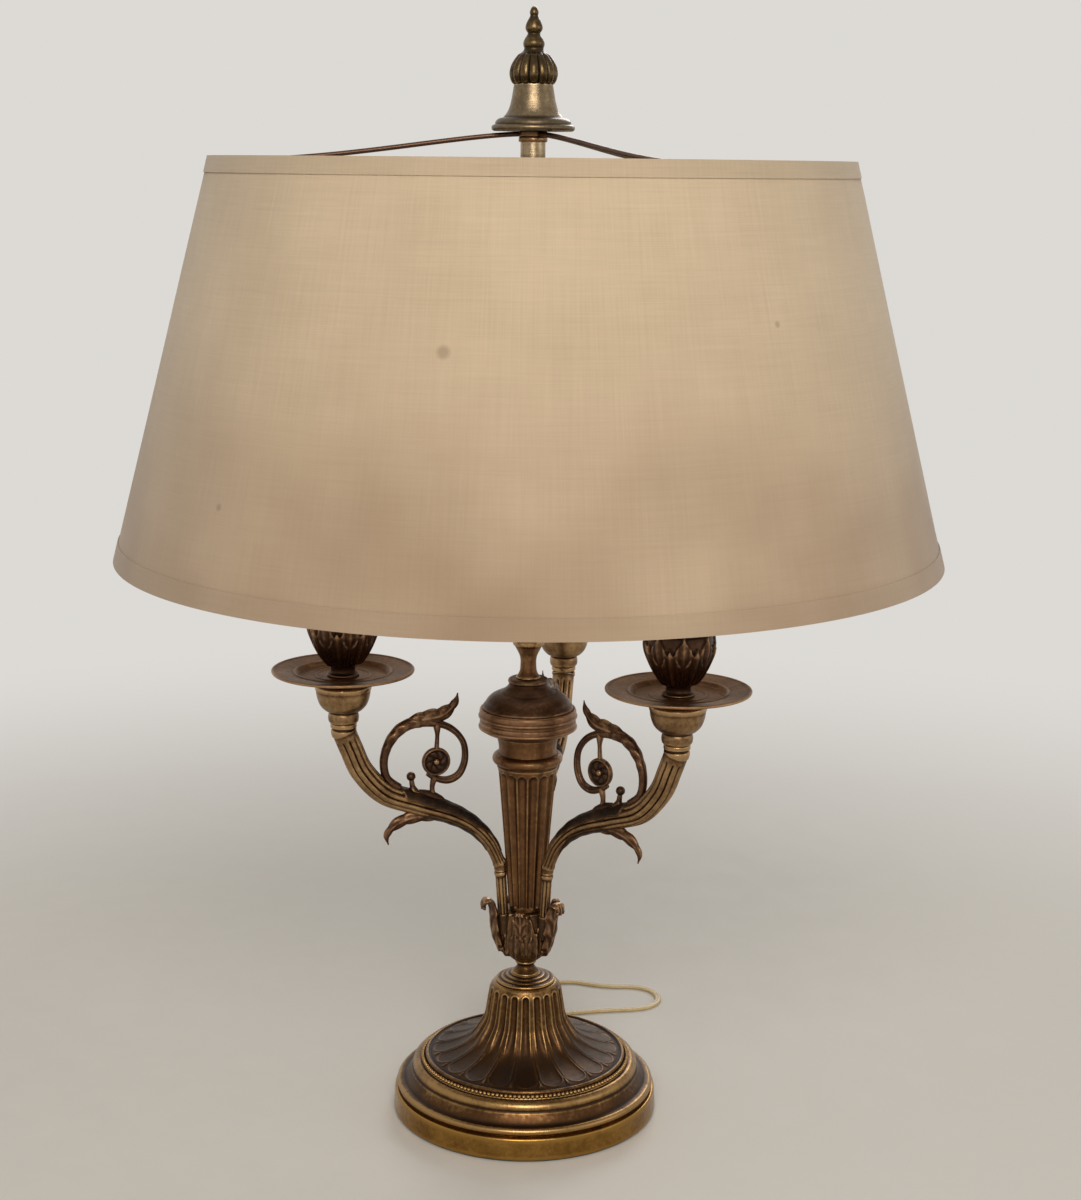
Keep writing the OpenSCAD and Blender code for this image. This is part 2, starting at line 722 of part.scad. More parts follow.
// Straight reeded feet of the arms, each with the ring that the arm stands on
module arm_stalks() {
  color(bronze)
    at_each_arm()
      along_stalk()
        difference() {
          union() {
            cylinder(r = stalk_r, h = stalk_len, $fn = 32);
            translate([0, 0, stalk_len - stalk_ring_h])
              cylinder(r = stalk_ring_r, h = stalk_ring_h - 0.4, $fn = 32);
          }
          translate([0, 0, -1])
            cylinder(r = wireway_r, h = stalk_len + 2, $fn = 24);
        }
}

// The scroll's ring of rod, as shares of the arm's reach and rise, and its leaves
scroll_shape = [[0.66, 0.57], [0.735, 0.64], [0.75, 0.76], [0.7, 0.88], [0.605, 0.955], [0.475, 0.965],
  [0.335, 0.92], [0.25, 0.83], [0.24, 0.72], [0.3, 0.62], [0.39, 0.575], [0.435, 0.478]];
tip_shape = [[0.6, 0.955], [0.48, 1.0], [0.38, 1.02], [0.31, 1.05], [0.29, 1.12]];
low_leaf_shape = [[0.48, 0.375], [0.62, 0.38], [0.7, 0.34], [0.745, 0.27], [0.72, 0.22]];
hook_shape = [[0.52, 0.955], [0.45, 0.92], [0.42, 0.85], [0.425, 0.79]];
rosette_at = [0.42, 0.715];
bud_at = [0.58, 0.64];
bud_foot = [0.575, 0.525];
rosette_t = 4;
bud_r = 2.8;

module rod_along(shape, steps, w0, w1, flat, n) {
  line = curve([for (f = shape) on_arm(f)], steps);
  last = len(line) - 1;
  sweep([for (p = line) upright(p)],
    [for (k = [0:last]) let (w = w0 + (w1 - w0)*k/last) oval(w, w*flat, n)], [0, 1, 0]);
}

module scroll(i) {
  hub = on_arm(rosette_at);
  bud = on_arm(bud_at);
  foot = on_arm(bud_foot);
  color(dark_bronze)
    at_arm(i) {
      rod_along(scroll_shape, 2, scroll_rod, 0.85*scroll_rod, 1, 8);
      rod_along(tip_shape, 1, 1.1*scroll_rod, 0.3*scroll_rod, 1.4, 6);
      rod_along(low_leaf_shape, 1, 1.3*scroll_rod, 0.3*scroll_rod, 1.4, 6);
      rod_along(hook_shape, 1, 0.7*scroll_rod, 0.5*scroll_rod, 1, 6);
      translate([hub[0], rosette_t/2, hub[1]])
        rotate([90, 0, 0])
          cylinder(r = rosette_r, h = rosette_t, $fn = 32);
      translate([bud[0], 0, bud[1]])
        sphere(r = bud_r, $fn = 24);
      rod_along([bud_foot, bud_at], 1, 0.8*scroll_rod, 0.6*scroll_rod, 1, 6);
    }
}

// ---- Candle fittings ----

z_pan = z_arm + pan_cup_h;
z_candle = z_pan + pan_t;
cup_floor = 17;
z_sleeve = z_candle + cup_floor;
z_sleeve_top = z_sleeve + sleeve_h;
cup_ring_h = 7;

module at_pan(i) {
  at_arm(i)
    translate([arm_reach, 0, 0])
      children();
}

module at_each_pan() {
  for (i = [0:2])
    at_pan(i)
      children();
}

module pan_cups() {
  color(bronze)
    at_each_pan()
      rotate_extrude($fn = 64)
        polygon([[nipple_r + run, z_arm], [arm_top_r + 0.4, z_arm], [arm_top_r + 2, z_arm + 0.3*cup_ring_h],
          [arm_top_r + 2, z_arm + 0.75*cup_ring_h], [arm_top_r + 1, z_arm + cup_ring_h],
          [0.66*pan_cup_r, z_arm + cup_ring_h + 0.5], [0.9*pan_cup_r, z_arm + cup_ring_h + 0.22*pan_cup_h],
          [pan_cup_r, z_arm + cup_ring_h + 0.42*pan_cup_h], [pan_cup_r + 0.6, z_pan - 3.6],
          [pan_cup_r - 3, z_pan], [nipple_r + run, z_pan]]);
}

// The pan's flat well, the step up to its brim and the brim's small outer bead
well_r = 26;
brim_foot = 2.2;
brim_step = 2;

module drip_pan(i) {
  rim = z_pan + pan_dish;
  color(dark_bronze)
    at_pan(i)
      rotate_extrude($fn = 96)
        polygon([[nipple_r + run, z_pan], [well_r, z_pan], [well_r + brim_step, z_pan + brim_foot],
          [pan_r - 1, rim], [pan_r, rim + 0.6*pan_t], [pan_r - 1, rim + pan_t],
          [well_r + brim_step - 0.6, z_pan + brim_foot + pan_t], [well_r - 0.6, z_candle],
          [nipple_r + run, z_candle]]);
}

// Leafed urn that holds the candle tube; its inside is a cone round the tube's seat
module candle_cup(i) {
  top = z_candle + candle_cup_h;
  color(dark_bronze)
    at_pan(i)
      rotate_extrude($fn = 64)
        polygon([[nipple_r + run, z_candle], [9, z_candle], [9, z_candle + 1.2], [7, z_candle + 3],
          [7, z_candle + 6], [0.6*candle_cup_r, z_candle + 0.28*candle_cup_h],
          [0.85*candle_cup_r, z_candle + 0.5*candle_cup_h], [candle_cup_r, z_candle + 0.74*candle_cup_h],
          [candle_cup_r - 0.6, z_candle + 0.86*candle_cup_h], [candle_cup_r + 0.9, top - 1.6],
          [candle_cup_r + 0.9, top], [candle_cup_r - 1.4, top], [sleeve_r + slip, z_sleeve + 3],
          [sleeve_r + slip, z_sleeve], [nipple_r + run, z_sleeve]]);
}

module candle_sleeves() {
  color(ivory)
    at_each_pan()
      translate([0, 0, z_sleeve])
        difference() {
          cylinder(r = sleeve_r, h = sleeve_h, $fn = 48);
          translate([0, 0, -1])
            cylinder(r = sleeve_r - sleeve_wall, h = sleeve_h + 2, $fn = 48);
        }
}

socket_wall = 2.4;
socket_h = 26;

module lampholders() {
  head = z_sleeve_top - 3;
  socket_r = bulb_cap_r + near_gap;
  base_r = sleeve_r - sleeve_wall - near_gap;
  color([0.2, 0.2, 0.2])
    at_each_pan()
      rotate_extrude($fn = 48)
        polygon([[nipple_r - 1.4, z_sleeve + 3], [nipple_r - 1.4, head - socket_h - 3],
          [0, head - socket_h - 3], [0, head - socket_h], [socket_r, head - socket_h], [socket_r, head],
          [socket_r + socket_wall, head], [socket_r + socket_wall, head - socket_h - 5],
          [nipple_r + 1, head - socket_h - 10], [nipple_r + 1, z_sleeve + 5],
          [base_r, z_sleeve + 5], [base_r, z_sleeve + 3]]);
}

z_bulb = z_sleeve_top + 1;

module bulb_caps() {
  foot = z_sleeve_top - 3 - socket_h;
  color(polished)
    at_each_pan()
      rotate_extrude($fn = 32)
        polygon([[0, foot], [3, foot], [4, foot + 2], [bulb_cap_r, foot + 4], [bulb_cap_r, z_bulb],
          [0, z_bulb]]);
}

module bulb_globes() {
  mid = z_bulb + 0.36*bulb_h;
  color([0.95, 0.93, 0.88])
    at_each_pan()
      rotate_extrude($fn = 48)
        polygon(concat([[0, z_bulb], [bulb_cap_r + 1, z_bulb], [bulb_cap_r + 1.6, z_bulb + 3],
          [0.72*bulb_r, z_bulb + 0.14*bulb_h], [0.93*bulb_r, z_bulb + 0.25*bulb_h], [bulb_r, mid],
          [0.95*bulb_r, mid + 0.15*bulb_h], [0.75*bulb_r, mid + 0.32*bulb_h],
          [0.42*bulb_r, mid + 0.5*bulb_h], [0.14*bulb_r, z_bulb + 0.97*bulb_h], [0, z_bulb + bulb_h]]));
}

// Threaded tubes that clamp arm, cup, pan and candle cup together
module arm_nipples() {
  low = z_arm - nipple_grip;
  color(steel)
    at_each_pan()
      translate([0, 0, low])
        difference() {
          cylinder(r = nipple_r, h = z_sleeve + 3 - low, $fn = 32);
          translate([0, 0, -1])
            cylinder(r = nipple_r - 1.4, h = z_sleeve + 5 - low, $fn = 32);
        }
}

// Each wire runs from the wiring space in the calyx up through its arm into the lampholder
module arm_wires() {
  line = arm_line();
  last = len(line) - 1;
  foot = [stem_foot_r, 0, z_stalk];
  lean = [sin(stalk_lean), 0, cos(stalk_lean)];
  path = concat([[tube_r - 0.6, 0, z_calyx + calyx_floor + 2.5], foot + [-6.2, 0, -6.2],
      foot + [-0.5, 0, -0.6], foot + 3*lean, foot + 0.5*stalk_len*lean],
    line,
    [for (z = [z_pan, z_sleeve, z_sleeve + 24]) [arm_reach, 0, z]]);
  color(brown)
    at_each_arm()
      sweep(path, [for (p = path) oval(2*wire_r, 2*wire_r, 6)], [0, 1, 0]);
}

// The cord's inner end: from the bushing through the hollow foot and up the tube
feed_r = 1.9;
// How far the outer cord reaches into the tail of its bushing
cord_overlap = 2.2;
feed_route = [[40, 5.5], [20, 6.5], [6, 14], [1, 28], [0, 44]];

module feed_wire() {
  start = [0, foot_r + bushing_head_t + relief_tail - cord_overlap, cord_hole_z];
  inside = [0, foot_r - band_wall - 10, cord_hole_z];
  line = concat([start, inside], [for (p = curve(feed_route, 2)) [0, p[0], p[1]]],
    [[0, 0, z_calyx + calyx_floor + 0.5]]);
  color(gold_cord)
    rotate([0, 0, cord_turn])
      sweep(line, [for (p = line) oval(2*feed_r, 2*feed_r, 8)], [1, 0, 0]);
}

module wire_splice() {
  color(ivory)
    translate([0, 0, z_calyx + calyx_floor + 0.5])
      cylinder(r = tube_r + 0.5, h = 4.5, $fn = 32);
}

// ---- Shade ----

z_shade_top = z_hub + hub_h/2 - shade_drop - 1.5;
z_shade_low = z_shade_top - shade_h;
function shade_r(z) = shade_low_r + (shade_top_r - shade_low_r)*(z - z_shade_low)/shade_h - trim_t;
function shade_in(z) = shade_r(z) - shade_t;
z_top_ring = z_shade_top - ring_wire_r - 0.8;
z_low_ring = z_shade_low + ring_wire_r + 0.8;
top_ring_r = shade_in(z_top_ring) - ring_wire_r - near_gap;
low_ring_r = shade_in(z_low_ring) - ring_wire_r - near_gap;

module spider_hub() {
  color(dark_bronze)
    translate([0, 0, z_hub])
      difference() {
        cylinder(r = hub_r, h = hub_h);
        translate([0, 0, -1])
          cylinder(r = rod_r + run, h = hub_h + 2, $fn = 32);
      }
}

// Three wires fall from the hub in a long curve and run out level at the top ring
module spider_wires() {
  start_r = rod_r + 2.4;
  fall = z_hub + hub_h/2 - z_top_ring;
  color(dark_bronze)
    for (a = arms)
      rotate([0, 0, spider_turn + a])
        sweep([for (k = [0:9]) let (t = k/9, s = pow(t, 0.8))
          [start_r + (top_ring_r - start_r)*t, 0, z_hub + hub_h/2 - fall*s*s*(3 - 2*s)]],
          [for (k = [0:9]) oval(2*spider_wire_r, 2*spider_wire_r, 8)], [0, 1, 0]);
}

module wire_ring(z, r) {
  color(dark_bronze)
    translate([0, 0, z])
      rotate_extrude($fn = 96)
        translate([r, 0])
          circle(r = ring_wire_r, $fn = 16);
}

module shade_cover() {
  color(linen)
    rotate_extrude($fn = 128)
      polygon([[shade_in(z_shade_low), z_shade_low], [shade_r(z_shade_low), z_shade_low],
        [shade_r(z_shade_top), z_shade_top], [shade_in(z_shade_top), z_shade_top]]);
}

module trim_band(z0, z1) {
  rotate_extrude($fn = 128)
    polygon([[shade_r(z0), z0], [shade_r(z0) + trim_t, z0], [shade_r(z1) + trim_t, z1], [shade_r(z1), z1]]);
}

module shade_trims() {
  color(linen) {
    trim_band(z_shade_low, z_shade_low + bottom_trim_h);
    trim_band(z_shade_top - top_trim_h, z_shade_top);
  }
}

// ---- Finial ----

shank_r = 5.5;
lip_r = 7;
lip_t = 1.2;
lip_well = 3;
lip_play = 0.2;

module finial_bell() {
  neck = finial_neck_r;
  color(polished)
    rotate_extrude($fn = 96)
      polygon([[lip_r + 1, z_finial], [flange_r - 1, z_finial], [flange_r, z_finial + 2.6],
        [flange_r - 0.4, z_finial + 4], [flange_r - 3, z_finial + 5.6], [flange_r - 5.6, z_finial + 7.2],
        [neck + 4.6, z_finial + 0.34*finial_bell_h], [neck + 2.9, z_finial + 0.45*finial_bell_h],
        [neck + 1.6, z_finial + 0.61*finial_bell_h], [neck + 0.7, z_finial + 0.78*finial_bell_h],
        [neck, z_knob], [shank_r + run, z_knob], [shank_r + run, z_finial + lip_well],
        [lip_r + 1, z_finial + lip_well]]);
}

// Fluted knob with its shank; the lip at the shank's end carries the bell up with it
module finial_knob() {
  z_lip = z_finial + lip_well - lip_play - lip_t;
  depth = rod_head + 2;
  color(dark_bronze)
    difference() {
      rotate_extrude($fn = 96)
        polygon([[0, z_lip], [lip_r, z_lip], [lip_r, z_lip + lip_t], [shank_r, z_lip + lip_t],
          [shank_r, z_knob], [finial_neck_r - 0.4, z_knob], [0.93*knob_r, z_knob + 0.06*knob_h],
          [knob_r, z_knob + 0.13*knob_h], [0.92*knob_r, z_knob + 0.23*knob_h],
          [0.8*knob_r, z_knob + 0.31*knob_h], [0.64*knob_r, z_knob + 0.37*knob_h],
          [0.45*knob_r, z_knob + 0.42*knob_h], [0.42*knob_r, z_knob + 0.46*knob_h],
          [0.45*knob_r, z_knob + 0.54*knob_h], [0.34*knob_r, z_knob + 0.61*knob_h],
          [0.26*knob_r, z_knob + 0.65*knob_h], [0.37*knob_r, z_knob + 0.71*knob_h],
          [0.27*knob_r, z_knob + 0.82*knob_h], [0.17*knob_r, z_knob + 0.89*knob_h],
          [0.15*knob_r, z_knob + 0.96*knob_h], [0, z_tip]]);
      translate([0, 0, z_lip - 1])
        cylinder(r = rod_r + run, h = depth, $fn = 32);
      for (i = [0:knob_flutes - 1])
        rotate([0, 0, 360*i/knob_flutes])
          translate([knob_r + 0.9, 0, z_knob + 0.02*knob_h])
            rotate([0, -12, 0])
              cylinder(r = 1.6, h = 0.3*knob_h, $fn = 16);
    }
}

// ---- Cord, switch and plug ----

// The coil lies behind the foot, its tie under it; the switch lies aslant behind the coil
tie_w = 5;
tie_t = 0.6;
tie_gap = 0.1;
coil_x = 2.5;
coil_y = foot_r + 27.6;
coil_turn_r = 22.5;
coil_z = tie_t + tie_gap + 0.1;
coil_h = 11.5;
coil_top = coil_z + coil_h;
floor_z = cord_t/2 + 0.05;
switch_y = foot_r + 81;
switch_turn = -35;
cord_in_z = 4;
plug_x = 13.4;
plug_y = foot_r + 28.4;
plug_turn = 5;
plug_z = coil_top;
// Heights above the resting cord at which it meets the bushing, the switch, the coil's top and the plug
at_hole = cord_hole_z - floor_z;
at_entry = cord_in_z - floor_z;
in_coil = coil_top - cord_t/2 - floor_z;
at_cap = plug_z + plug_t/2 - floor_z;

// Route points: x, distance behind the foot's edge, height above the cord where it lies on the table.
// The stretches go from the foot to the switch, from the switch to the coil and from the coil to the plug
route_to_switch = [[-26, 9.6, at_hole], [-26.7, 12.1, at_hole], [-28, 16.2, 4.2], [-29.2, 22.4, 2.2],
  [-29.8, 28.6, 0.6], [-28.7, 36.2, 0], [-26.8, 41.3, 0.2], [-24.1, 45.9, 0.9], [-20.5, 51.2, 2],
  [-16.5, 57, 2.7], [-13.4, 61.9, at_entry]];
route_to_coil = [[13.4, 100.1, at_entry], [15.6, 103.3, 2.6], [21, 108.7, 1.2], [27.9, 112, 0.2], [35.5, 112.6, 0],
  [42, 111.1, 0], [49, 108.4, 0], [57, 105.8, 0], [66, 104.5, 0], [75, 104.2, 0], [85.2, 101.6, 0], [92.7, 94.2, 0],
  [95.4, 84, 0], [92.7, 73.8, 0], [85.2, 66.4, 0], [75, 63.6, 0], [64, 62.2, 0], [50, 60.2, 0], [36, 57.4, 0],
  [22, 54.6, 0.2], [10.5, 52.7, 0.6], [2.5, 52.3, coil_z - 0.05]];
route_to_plug = [[-22, 24.6, in_coil], [-19.7, 17.9, in_coil + 0.8], [-13.2, 11.4, in_coil + 2.2],
  [-4.3, 9, in_coil + 2.6], [4.6, 11.4, in_coil + 3.6], [11.1, 17.9, in_coil + 5.2], [13.4, 25.6, at_cap - 0.4],
  [13.4, 29.4, at_cap]];

module cord_along(route) {
  line = [for (p = route) p + [0, foot_r, floor_z]];
  sweep(line, [for (p = line) oval(cord_w, cord_t, 8)], [0, 0, 1]);
}

module cord_lead() {
  color(gold_cord) {
    cord_along(route_to_switch);
    cord_along(route_to_coil);
    cord_along(route_to_plug);
  }
}

module cord_coil() {
  color(gold_cord)
    translate([coil_x, coil_y, coil_z])
      rotate_extrude($fn = 64)
        polygon([[coil_turn_r - cord_w, 1], [coil_turn_r - cord_w + 1, 0], [coil_turn_r + cord_w - 1, 0],
          [coil_turn_r + cord_w, 1], [coil_turn_r + cord_w, coil_h - 1], [coil_turn_r + cord_w - 1, coil_h],
          [coil_turn_r - cord_w + 1, coil_h], [coil_turn_r - cord_w, coil_h - 1]]);
}

// Half the tie's opening: the coil curves across the tie's width, so its inner wall bulges past cord_w
coil_in_r = coil_turn_r - cord_w;
coil_bulge = coil_in_r - sqrt(coil_in_r*coil_in_r - tie_w*tie_w/4);
tie_half = cord_w + coil_bulge + 2*tie_gap;

module cord_tie() {
  color([0.12, 0.12, 0.12])
    translate([coil_x - coil_turn_r, coil_y - tie_w/2, coil_z - tie_gap])
      rotate([-90, 0, 0])
        difference() {
          translate([-tie_half - tie_t, -coil_h - 2*tie_gap - tie_t, 0])
            cube([2*(tie_half + tie_t), coil_h + 2*tie_gap + 2*tie_t, tie_w]);
          translate([-tie_half, -coil_h - 2*tie_gap, -1])
            cube([2*tie_half, coil_h + 2*tie_gap, tie_w + 2]);
        }
}

switch_wall = 1.8;
pivot_r = 1.2;
rocker_l = 15;
rocker_w = 8;
post_t = 2;
pivot_z = switch_base_h + 0.5;

module rounded_block(l, w, h, r) {
  linear_extrude(h)
    polygon(concat(arc(w/2 - r, l/2 - r, r, 0, 90, 4), arc(r - w/2, l/2 - r, r, 90, 180, 4),
      arc(r - w/2, r - l/2, r, 180, 270, 4), arc(w/2 - r, r - l/2, r, 270, 360, 4)));
}

module at_switch(z) {
  translate([0, switch_y, z])
    rotate([0, 0, switch_turn])
      children();
}

// Lower shell with the two posts that carry the rocker
module switch_base() {
  color(brown)
    at_switch(0)
      difference() {
        union() {
          difference() {
            rounded_block(switch_l, switch_w, switch_base_h, 4);
            translate([0, 0, switch_wall])
              rounded_block(switch_l - 2*switch_wall, switch_w - 2*switch_wall, switch_base_h, 2.4);
          }
          for (s = [-1, 1])
            translate([s*(rocker_w/2 + post_t/2 + slip) - post_t/2, -3, 0.5])
              cube([post_t, 6, pivot_z + pivot_r + 0.8 - 0.5]);
        }
        translate([-rocker_w/2 - post_t - 0.4, 0, pivot_z])
          rotate([0, 90, 0])
            cylinder(r = pivot_r + run, h = rocker_w + 2*post_t + 0.8, $fn = 24);
        for (s = [-1, 1])
          translate([0, s*(switch_l/2 - switch_wall/2), cord_in_z])
            cube([cord_w + 2*slip, 2*switch_wall, cord_t + 2*slip], center = true);
      }
}

window_gap = 0.5;

module switch_cover() {
  color(brown)
    at_switch(switch_base_h)
      difference() {
        rounded_block(switch_l, switch_w, switch_cover_h, 4);
        translate([0, 0, -switch_wall])
          rounded_block(switch_l - 2*switch_wall, switch_w - 2*switch_wall, switch_cover_h, 2.4);
        translate([-rocker_w/2 - window_gap, -rocker_l/2 - window_gap, 0])
          cube([rocker_w + 2*window_gap, rocker_l + 2*window_gap, switch_cover_h + 1]);
      }
}

// Rocker at one end of its swing: it turns about the pivot by rocker_swing to the other end
module switch_rocker() {
  top = switch_cover_h + 0.4;
  color([0.15, 0.11, 0.08])
    at_switch(pivot_z)
      rotate([-rocker_swing/2, 0, 0]) {
        translate([-rocker_w/2, 0, 0])
          rotate([90, 0, 90])
            linear_extrude(rocker_w)
              polygon([[-rocker_l/2 + 1.2, top - 1.2], [-rocker_l/2 + 1.2, top - 2.8], [-2.6, -2], [2.6, -2],
                [rocker_l/2 - 1.2, top - 2.8], [rocker_l/2 - 1.2, top - 1.2], [0, top - 2]]);
        translate([-rocker_w/2 - post_t, 0, 0])
          rotate([0, 90, 0])
            cylinder(r = pivot_r, h = rocker_w + 2*post_t, $fn = 24);
      }
}

relief_l = 8;
blade_pitch = 12.7;
blade_t = 1.5;
blade_w = 6.3;
blade_grip = 8;

module at_plug() {
  translate([plug_x, plug_y, plug_z + plug_t/2])
    rotate([0, 0, plug_turn])
      children();
}

module plug_body() {
  color(brown)
    at_plug()
      difference() {
        union() {
          translate([0, plug_l/2 + relief_l, -plug_t/2])
            rounded_block(plug_l, plug_w, plug_t, 4);
          translate([0, relief_l + 1, 0])
            rotate([90, 0, 0])
              cylinder(r1 = plug_t/2 - 1.5, r2 = cord_w/2 + 0.9, h = relief_l + 1, $fn = 32);
        }
        for (s = [-1, 1])
          translate([s*blade_pitch/2 - blade_t/2 - 0.05, relief_l + plug_l - blade_grip, -blade_w/2 - 0.05])
            cube([blade_t + 0.1, blade_grip + 1, blade_w + 0.1]);
      }
}

module plug_pins() {
  color(polished)
    at_plug()
      for (s = [-1, 1])
        translate([s*blade_pitch/2 - blade_t/2, relief_l + plug_l - blade_grip, -blade_w/2])
          cube([blade_t, blade_grip + blade_l, blade_w]);
}

felt_pad();
foot_band();
foot_plinth();
bead_ring();
foot_dome();
weight_plate();
plate_screws();
dome_collar();
neck_spool();
clamp_nuts();
foot_tube();
cord_bushing();
calyx();
calyx_leaves();
column_shaft();
column_necking();
cap_drum();
cap_dome();
stem_spool();
centre_rod();
stem_tube();
stem_collar();
arm(0);  // arm_left
arm(1);  // arm_right
arm(2);  // arm_rear
scroll(0);  // scroll_left
scroll(1);  // scroll_right
scroll(2);  // scroll_rear
arm_stalks();
pan_cups();
drip_pan(0);  // drip_pan_left
drip_pan(1);  // drip_pan_right
drip_pan(2);  // drip_pan_rear
candle_cup(0);  // candle_cup_left
candle_cup(1);  // candle_cup_right
candle_cup(2);  // candle_cup_rear
candle_sleeves();
lampholders();
bulb_caps();
bulb_globes();
arm_nipples();
arm_wires();
feed_wire();
wire_splice();
spider_hub();
spider_wires();
wire_ring(z_top_ring, top_ring_r);  // shade_top_ring
wire_ring(z_low_ring, low_ring_r);  // shade_bottom_ring
shade_cover();
shade_trims();
finial_bell();
finial_knob();
cord_lead();
cord_coil();
cord_tie();
switch_base();
switch_cover();
switch_rocker();
plug_body();
plug_pins();
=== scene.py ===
import math

import bpy
import numpy as np
from mathutils import Matrix, Vector

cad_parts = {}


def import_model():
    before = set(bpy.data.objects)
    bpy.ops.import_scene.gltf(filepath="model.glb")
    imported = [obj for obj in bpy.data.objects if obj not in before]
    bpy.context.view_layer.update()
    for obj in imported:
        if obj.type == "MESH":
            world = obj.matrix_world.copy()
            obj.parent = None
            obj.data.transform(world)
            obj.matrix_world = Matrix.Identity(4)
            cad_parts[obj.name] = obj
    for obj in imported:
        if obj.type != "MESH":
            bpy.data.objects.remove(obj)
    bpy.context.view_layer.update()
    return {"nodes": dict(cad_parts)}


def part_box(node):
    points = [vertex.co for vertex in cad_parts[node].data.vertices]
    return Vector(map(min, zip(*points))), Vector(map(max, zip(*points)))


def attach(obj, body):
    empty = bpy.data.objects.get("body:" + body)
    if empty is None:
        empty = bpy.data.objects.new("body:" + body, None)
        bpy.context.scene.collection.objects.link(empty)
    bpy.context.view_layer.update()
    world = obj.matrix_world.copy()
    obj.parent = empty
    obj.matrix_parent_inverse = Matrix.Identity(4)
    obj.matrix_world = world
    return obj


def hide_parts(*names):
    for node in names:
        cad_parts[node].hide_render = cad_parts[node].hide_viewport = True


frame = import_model()
nodes = frame["nodes"]
scene = bpy.context.scene
TAU = 2 * math.pi

# Shapes are worked out in millimetres, and piece() turns them into metres. Camera, looks and light are
# in metres from the start.

# ------------ camera

# The eye in metres and the angles in degrees, solved from the rims of foot, pans and shade in the photo
EYE = (-0.0161, -1.20786, 0.5724)
PITCH, YAW, ROLL = (math.radians(a) for a in (11.779, 1.089, 0.581))
FOCAL_PX, FRAME_H, SENSOR_MM = 2081.1, 1200, 36


def make_camera():
    data = bpy.data.cameras.new("camera")
    data.sensor_width = SENSOR_MM
    data.lens = FOCAL_PX * SENSOR_MM / FRAME_H
    data.clip_start, data.clip_end = 0.05, 50
    camera = bpy.data.objects.new("camera", data)
    scene.collection.objects.link(camera)
    ahead = Vector((math.sin(YAW) * math.cos(PITCH), math.cos(YAW) * math.cos(PITCH), -math.sin(PITCH)))
    right = Vector((math.cos(YAW), -math.sin(YAW), 0))
    up = right.cross(ahead)
    right, up = (right * math.cos(ROLL) + up * math.sin(ROLL), up * math.cos(ROLL) - right * math.sin(ROLL))
    turn = Matrix((right, up, -ahead)).transposed()
    camera.matrix_world = Matrix.Translation(EYE) @ turn.to_4x4()
    scene.camera = camera


make_camera()

# ------------ mesh tools


def smooth(t):
    t = np.clip(t, 0, 1)
    return t * t * (3 - 2 * t)


def window(x, low, soft_low, high, soft_high):
    """1 between low and high, 0 outside; it rises over soft_low and falls over soft_high, both inside."""
    return smooth((x - low) / soft_low) * smooth((high - x) / soft_high)


def peak(x, width):
    """1 at 0, falling away on both sides over about the width."""
    return np.exp(-(x / width) ** 2)


def spline(points, n):
    """Catmull-Rom curve through the points, n steps from each to the next."""
    p = np.asarray(points, float)
    q = np.vstack([p[:1], p, p[-1:]])
    t = np.linspace(0, 1, n, endpoint=False)[:, None]
    runs = []
    for i in range(len(p) - 1):
        a, b, c, d = q[i:i + 4]
        runs.append(
            0.5 * (2 * b + (c - a) * t + (2 * a - 5 * b + 4 * c - d) * t**2 + (3 * b - a - 3 * c + d) * t**3))
    return np.vstack(runs + [p[-1:]])


def along(p):
    """Distance along a line of points."""
    return np.r_[0, np.cumsum(np.linalg.norm(np.diff(p, axis=0), axis=1))]


def resample(p, step):
    d = along(p)
    s = np.linspace(0, d[-1], max(2, round(d[-1] / step) + 1))
    return np.stack([np.interp(s, d, p[:, k]) for k in range(p.shape[1])], 1)


def outline(*runs, step=0.5, soften=1):
    """A turned outline of (radius, height): smooth inside a run, cornered where one run meets the next."""
    line, last = [], None
    for run in runs:
        run = ([last] if last is not None else []) + [tuple(p) for p in run]
        bent = resample(spline(run, 10) if len(run) > 2 else np.array(run, float), step)
        line.append(bent if last is None else bent[1:])
        last = run[-1]
    line = np.vstack(line)
    for _ in range(soften):
        line[1:-1] = 0.25 * line[:-2] + 0.5 * line[1:-1] + 0.25 * line[2:]
    return line


def around(n):
    """Even steps of angle once round."""
    return TAU * np.arange(n) / n


def polar(r, th, z):
    return np.stack([r * np.cos(th), r * np.sin(th), z], -1)


def unit(v):
    return v / np.maximum(np.linalg.norm(v, axis=-1, keepdims=True), 1e-9)


def upright(points):
    """Flat points (x, z) in the XZ plane."""
    p = np.asarray(points, float)
    return np.stack([p[:, 0], 0 * p[:, 0], p[:, 1]], 1)


def arc(x, y, r, a0, a1, n=8):
    a = np.radians(np.linspace(a0, a1, n))
    return [(x + r * math.cos(k), y + r * math.sin(k)) for k in a]


def mark(line, r, z):
    """How far along an outline its point nearest to (r, z) lies."""
    return along(line)[np.argmin(np.hypot(line[:, 0] - r, line[:, 1] - z))]


def slopes(p, axis, ring):
    if ring:
        return (np.roll(p, -1, axis) - np.roll(p, 1, axis)) / 2
    return np.gradient(p, axis=axis)


def blurred(p, axis, ring):
    if ring:
        return (np.roll(p, -1, axis) + np.roll(p, 1, axis)) / 2
    p = np.moveaxis(p, axis, 0)
    q = np.concatenate([2 * p[:1] - p[1:2], p, 2 * p[-1:] - p[-2:-1]])
    return np.moveaxis((q[2:] + q[:-2]) / 2, 0, axis)


